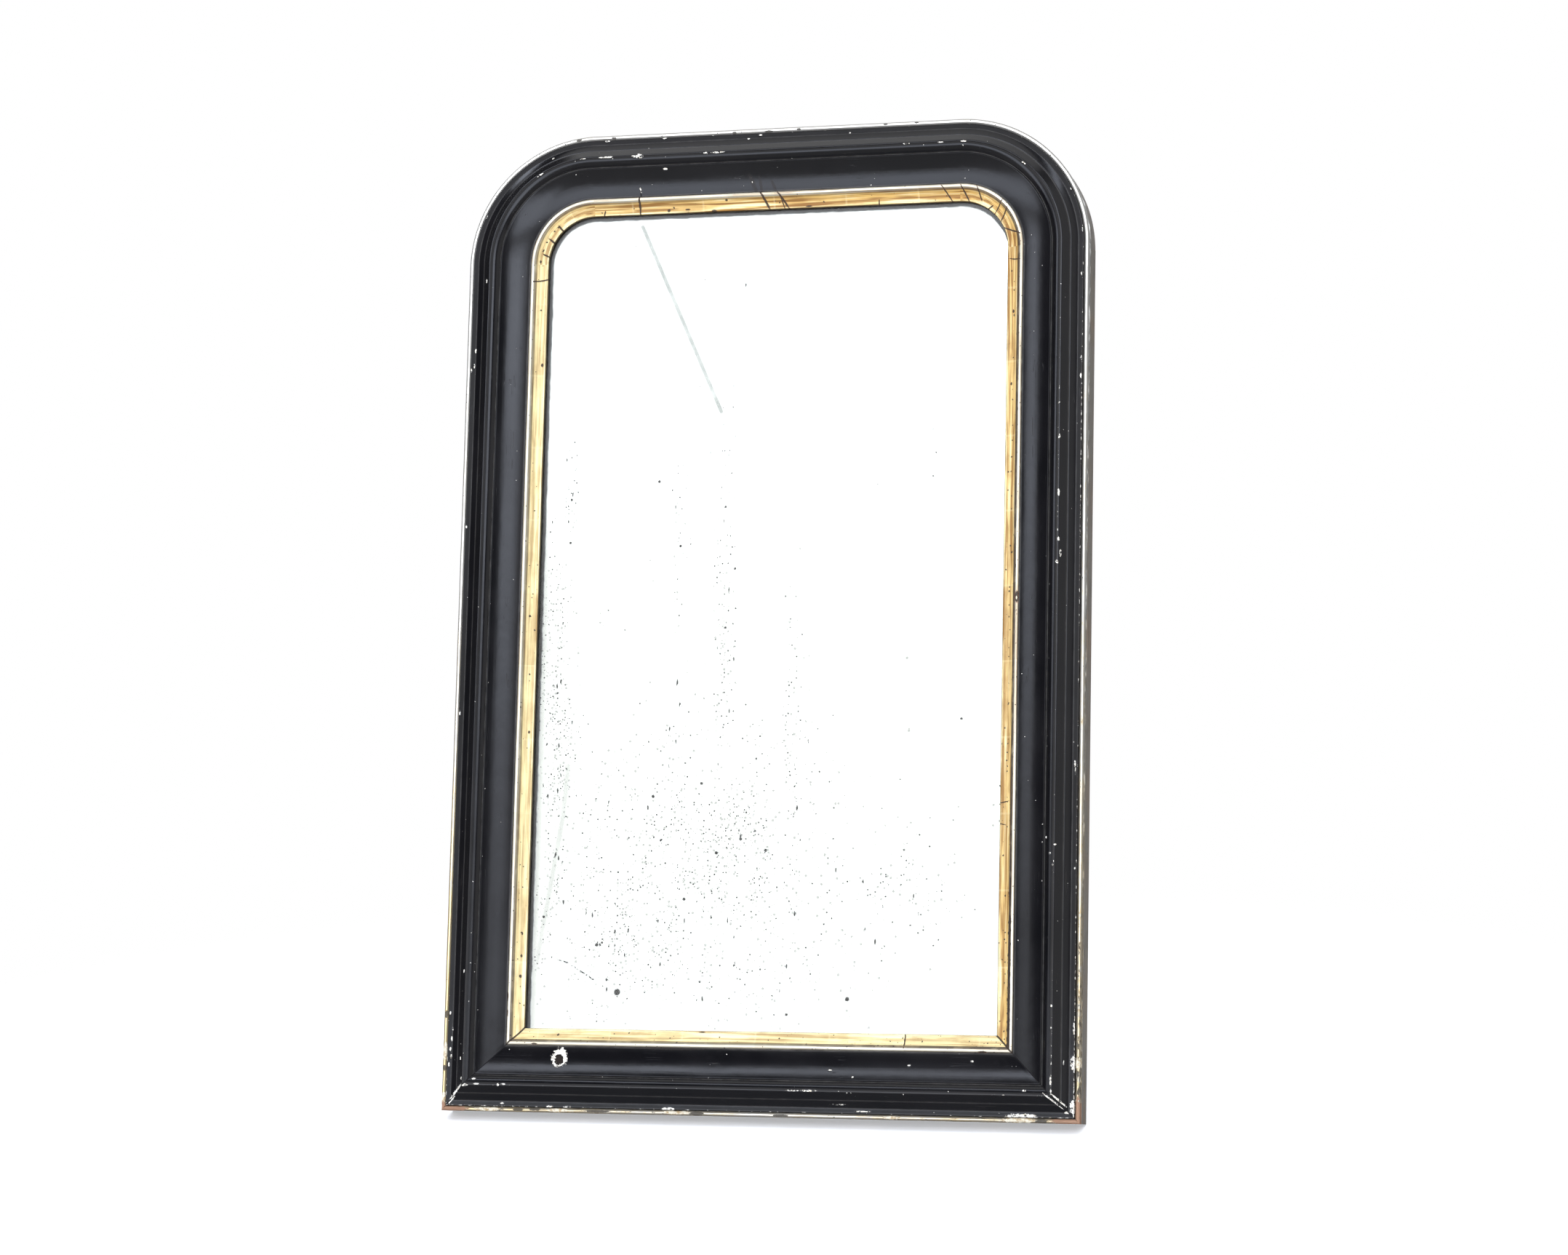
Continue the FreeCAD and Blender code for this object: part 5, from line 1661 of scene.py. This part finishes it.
@dataclass
class NailHeads:
    """The hammered nail heads round the back boards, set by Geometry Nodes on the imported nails' places."""

    material: Material
    name: str = "backboard_nail_heads"
    head_radius: float = 0.0025
    head_height: float = 0.0007
    seed: int = 11

    def places(self) -> list[tuple[float, float, float]]:
        """The middle of every packed nail head, found on the node's own mesh.

        Returns:
            One point a nail, on the face of the boards.
        """
        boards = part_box("backboard_middle")[1].y
        heads: list[list[Vector]] = []
        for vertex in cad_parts["backboard_nails"].data.vertices:
            if vertex.co.y < boards - 0.0001:
                continue
            for head in heads:
                if (head[0] - vertex.co).length < self.head_radius * 3:
                    head.append(vertex.co)
                    break
            else:
                heads.append([vertex.co])
        middles = []
        for head in heads:
            xs, zs = [p.x for p in head], [p.z for p in head]
            middles.append(((min(xs) + max(xs)) / 2, boards, (min(zs) + max(zs)) / 2))
        return middles

    def tree(self) -> bpy.types.NodeTree:
        """Builds the tree: a flattened dome on every point, turned, sized and hammered at random.

        Returns:
            The Geometry Nodes tree.
        """
        tree = bpy.data.node_groups.new("Nail heads", "GeometryNodeTree")
        inputs = {
            "Places": "Geometry",
            "Head Radius": "Float",
            "Head Height": "Float",
            "Seed": "Int",
            "Finish": "Material",
        }
        for name, kind in inputs.items():
            tree.interface.new_socket(name=name, in_out="INPUT", socket_type=f"NodeSocket{kind}")
        tree.interface.new_socket(name="Heads", in_out="OUTPUT", socket_type="NodeSocketGeometry")
        g = Graph(tree)
        places, radius, height, seed, finish = tuple(g.node("NodeGroupInput").outputs)[: len(inputs)]
        dome = g.node("GeometryNodeMeshUVSphere", {"Segments": 14, "Rings": 8, "Radius": 1.0}).outputs["Mesh"]
        size = g.node("ShaderNodeCombineXYZ", {0: radius, 1: height, 2: radius}).outputs[0]
        flat = g.node("GeometryNodeTransform", {"Geometry": dome, "Scale": size}).outputs[0]
        turn, grow = (
            g.node(
                "FunctionNodeRandomValue", {"Min": low, "Max": high, "Seed": seed}, data_type="FLOAT_VECTOR"
            ).outputs["Value"]
            for low, high in (
                ((-0.05, 0.0, -0.05), (0.05, math.tau, 0.05)),
                ((0.84, 0.9, 0.84), (1.0, 1.0, 1.0)),
            )
        )
        heads = g.node(
            "GeometryNodeInstanceOnPoints", {"Points": places, "Instance": flat, "Rotation": turn, "Scale": grow}
        )
        real = g.node("GeometryNodeRealizeInstances", {0: heads.outputs[0]}).outputs[0]
        blows = g.node("ShaderNodeTexNoise", {"Scale": 640.0, "Detail": 1.0}).outputs["Color"]
        dents = g.vector("MULTIPLY", g.vector("SUBTRACT", blows, (0.5, 0.5, 0.5)), (0.0006, 0.00025, 0.0006))
        moved = g.node("GeometryNodeSetPosition", {"Geometry": real, "Offset": dents}).outputs[0]
        smooth = g.node("GeometryNodeSetShadeSmooth", {0: moved}).outputs[0]
        coat = g.node("GeometryNodeSetMaterial", {"Geometry": smooth, "Material": finish}).outputs[0]
        g.node("NodeGroupOutput", {"Heads": coat})
        return tree

    def build(self) -> None:
        """Sets the heads and hands them over as one piece."""
        points = bpy.data.meshes.new("nail_places")
        points.from_pydata(self.places(), [], [])
        carrier, tree = linked("nail_places", points), self.tree()
        modifier = carrier.modifiers.new("Nail heads", "NODES")
        modifier.node_group = tree
        values = {
            "Head Radius": self.head_radius,
            "Head Height": self.head_height,
            "Seed": self.seed,
            "Finish": self.material,
        }
        for item in tree.interface.items_tree:
            if item.item_type == "SOCKET" and item.name in values:
                modifier[item.identifier] = values[item.name]
        bpy.context.view_layer.update()
        graph = bpy.context.evaluated_depsgraph_get()
        mesh = bpy.data.meshes.new_from_object(carrier.evaluated_get(graph))
        mesh.name = self.name
        carrier.modifiers.clear()
        bpy.data.objects.remove(carrier)
        piece = finished_mesh(self.name, mesh, 60.0)
        hand_over(piece, self.material, BODY, "wrought_iron", "backboard_nails")


# Studio


@dataclass(frozen=True)
class Patch:
    """A bright patch of the studio: where it rises and falls by bearing and by height, in degrees."""

    bearing: Row
    height: Row
    strength: float


@dataclass
class Studio:
    """The camera at the photograph's angle, a pale floor that the leaning mirror stands on, and soft light."""

    camera_place: Colour = (0.9917, -3.7848, -0.0059)
    camera_turn: Colour = (14.516, 7.786, -1.280)
    lens: float = 83.24
    lean: float = 19.0
    floor_reach: float = 1.6
    floor_steps: int = 24
    floor_drop: float = 0.0002
    floor_glow: float = 0.32
    ambient: float = 0.07
    cool: Colour = (0.92, 0.98, 1.12)
    patches: tuple[Patch, ...] = (
        Patch((-28, -23, -6, -2), (-6, 0, 16, 20), 1.25),
        Patch((-28, -23, -6, -2), (2, 12, 16, 20), 1.9),
        Patch((-62, -50, 14, 24), (-24, -13, -4, 3), 4.4),
        Patch((-95, -80, 60, 75), (-70, -60, -24, -14), 0.7),
        Patch((-4, 14, 25, 30), (-2, 13, 24, 34), 6.3),
        Patch((-53, -46, -36, -31), (-2, 13, 24, 34), 5.2),
        Patch((37, 50, 84, 96), (-20, -8, 44, 60), 1.0),
        Patch((162, 170, 179, 181), (0, 10, 60, 70), 2.9),
        Patch((-181, -179, -165, -155), (0, 10, 60, 70), 2.9),
        Patch((-6, 6, 26, 33), (-30, -20, -5, 3), 5.2),
        Patch((-95, -75, 55, 75), (38, 44, 47, 51), 6.0),
        Patch((-999, -998, 998, 999), (57, 63, 200, 201), 1.4),
    )

    def build(self) -> None:
        """Sets up the camera, the floor and the light."""
        bpy.context.scene.view_settings.view_transform = "Standard"
        self._camera()
        self._floor()
        self._light()

    def _camera(self) -> None:
        """Places the camera."""
        lens = bpy.data.cameras.new("camera")
        lens.lens = self.lens
        lens.sensor_width = 36.0
        lens.sensor_fit = "HORIZONTAL"
        lens.clip_start = 0.05
        lens.clip_end = 50.0
        camera = linked("camera", lens)
        turn = Matrix.Identity(4)
        for degrees, axis in zip((*self.camera_turn, 90.0), "ZXYX"):
            turn = turn @ Matrix.Rotation(math.radians(degrees), 4, axis)
        camera.matrix_world = Matrix.Translation(self.camera_place) @ turn
        bpy.context.scene.camera = camera

    def _floor(self) -> None:
        """Lays the floor, which fades out before it ends and can't be seen from below."""
        slope, row = math.tan(math.radians(self.lean)), self.floor_steps + 1
        ticks = np.linspace(-self.floor_reach, self.floor_reach, row)
        mesh = bpy.data.meshes.new("floor")
        starts = [j * row + i for j in range(self.floor_steps) for i in range(self.floor_steps)]
        mesh.from_pydata(
            [(x, y, y * slope - self.floor_drop) for y in ticks for x in ticks],
            [],
            [(k, k + 1, k + row + 1, k + row) for k in starts],
        )
        floor = linked("floor", mesh)
        material = bpy.data.materials.new("pale_floor")
        material.use_nodes = True
        g = Graph(material.node_tree)
        shader = material.node_tree.nodes["Principled BSDF"]
        seen = g.node("ShaderNodeLightPath").outputs["Is Camera Ray"]
        pale = g.mix(g.noise(g.place, 5.0, 4.0), (0.93, 0.93, 0.93), (0.90, 0.90, 0.895))
        for key, value in {
            "Base Color": g.mix(seen, (0.34, 0.34, 0.34), pale),
            "Roughness": 0.9,
            "Specular IOR Level": 0.1,
            "Emission Color": (1.0, 1.0, 1.0),
            "Emission Strength": g.times(seen, self.floor_glow),
        }.items():
            g.feed(shader.inputs[key], value)
        clear = g.node("ShaderNodeBsdfTransparent").outputs[0]
        off = g.vector("DISTANCE", g.turned(g.place, scale=(0.72, 1.0, 0.0)), (0.0, -0.05, 0.0))
        hidden = g.most(g.step(off, 0.30, 0.95), g.node("ShaderNodeNewGeometry").outputs["Backfacing"])
        mixed = g.node("ShaderNodeMixShader", {0: hidden, 1: shader.outputs[0], 2: clear}).outputs[0]
        g.feed(material.node_tree.nodes["Material Output"].inputs["Surface"], mixed)
        floor.data.materials.append(material)

    def _light(self) -> None:
        """Makes the soft light: a broad bright front and ceiling, dim sides, and a white ground behind."""
        world = bpy.data.worlds.new("studio")
        world.use_nodes = True
        bpy.context.scene.world = world
        g = Graph(world.node_tree)
        background = world.node_tree.nodes["Background"]
        x, y, z = g.split(g.node("ShaderNodeTexCoord").outputs["Generated"])
        bearing = g.times(g.math("ARCTAN2", x, g.times(y, -1.0)), 180.0 / math.pi)
        height = g.times(g.math("ARCSINE", z), 180.0 / math.pi)
        glow = self.ambient
        for patch in self.patches:
            window = [
                g.step(way, stops[a], stops[b])
                for way, stops in ((bearing, patch.bearing), (height, patch.height))
                for a, b in ((0, 1), (3, 2))
            ]
            glow = g.most(glow, g.times(*window, patch.strength))
        g.feed(background.inputs["Color"], g.mix(g.step(glow, 1.3, 3.0), (1.0, 1.0, 1.0), self.cool))
        g.feed(background.inputs["Strength"], glow)
        ground = g.node("ShaderNodeBackground", {"Color": (1.0, 1.0, 1.0), "Strength": 1.0}).outputs[0]
        seen = g.node("ShaderNodeLightPath").outputs["Is Camera Ray"]
        mixed = g.node("ShaderNodeMixShader", {0: seen, 1: background.outputs[0], 2: ground}).outputs[0]
        g.feed(world.node_tree.nodes["World Output"].inputs["Surface"], mixed)


# The mirror


def main() -> None:
    """Builds the studio and the mirror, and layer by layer."""
    logging.basicConfig(level=logging.INFO, format="%(name)s: %(message)s")
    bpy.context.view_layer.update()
    Studio().build()
    Effects()
    materials = {finish.name: finish.build() for finish in FINISHES}
    layout = Layout.from_frame()
    for layer in LAYERS:
        layer.build(layout, materials[layer.slot])
    Backing(layout, materials).build()
    Glazing(layout, materials).build()
    NailHeads(materials["wrought_iron"]).build()
    LOG.info("dressed %d packed nodes", len(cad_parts))


if __name__ == "__main__":
    main()
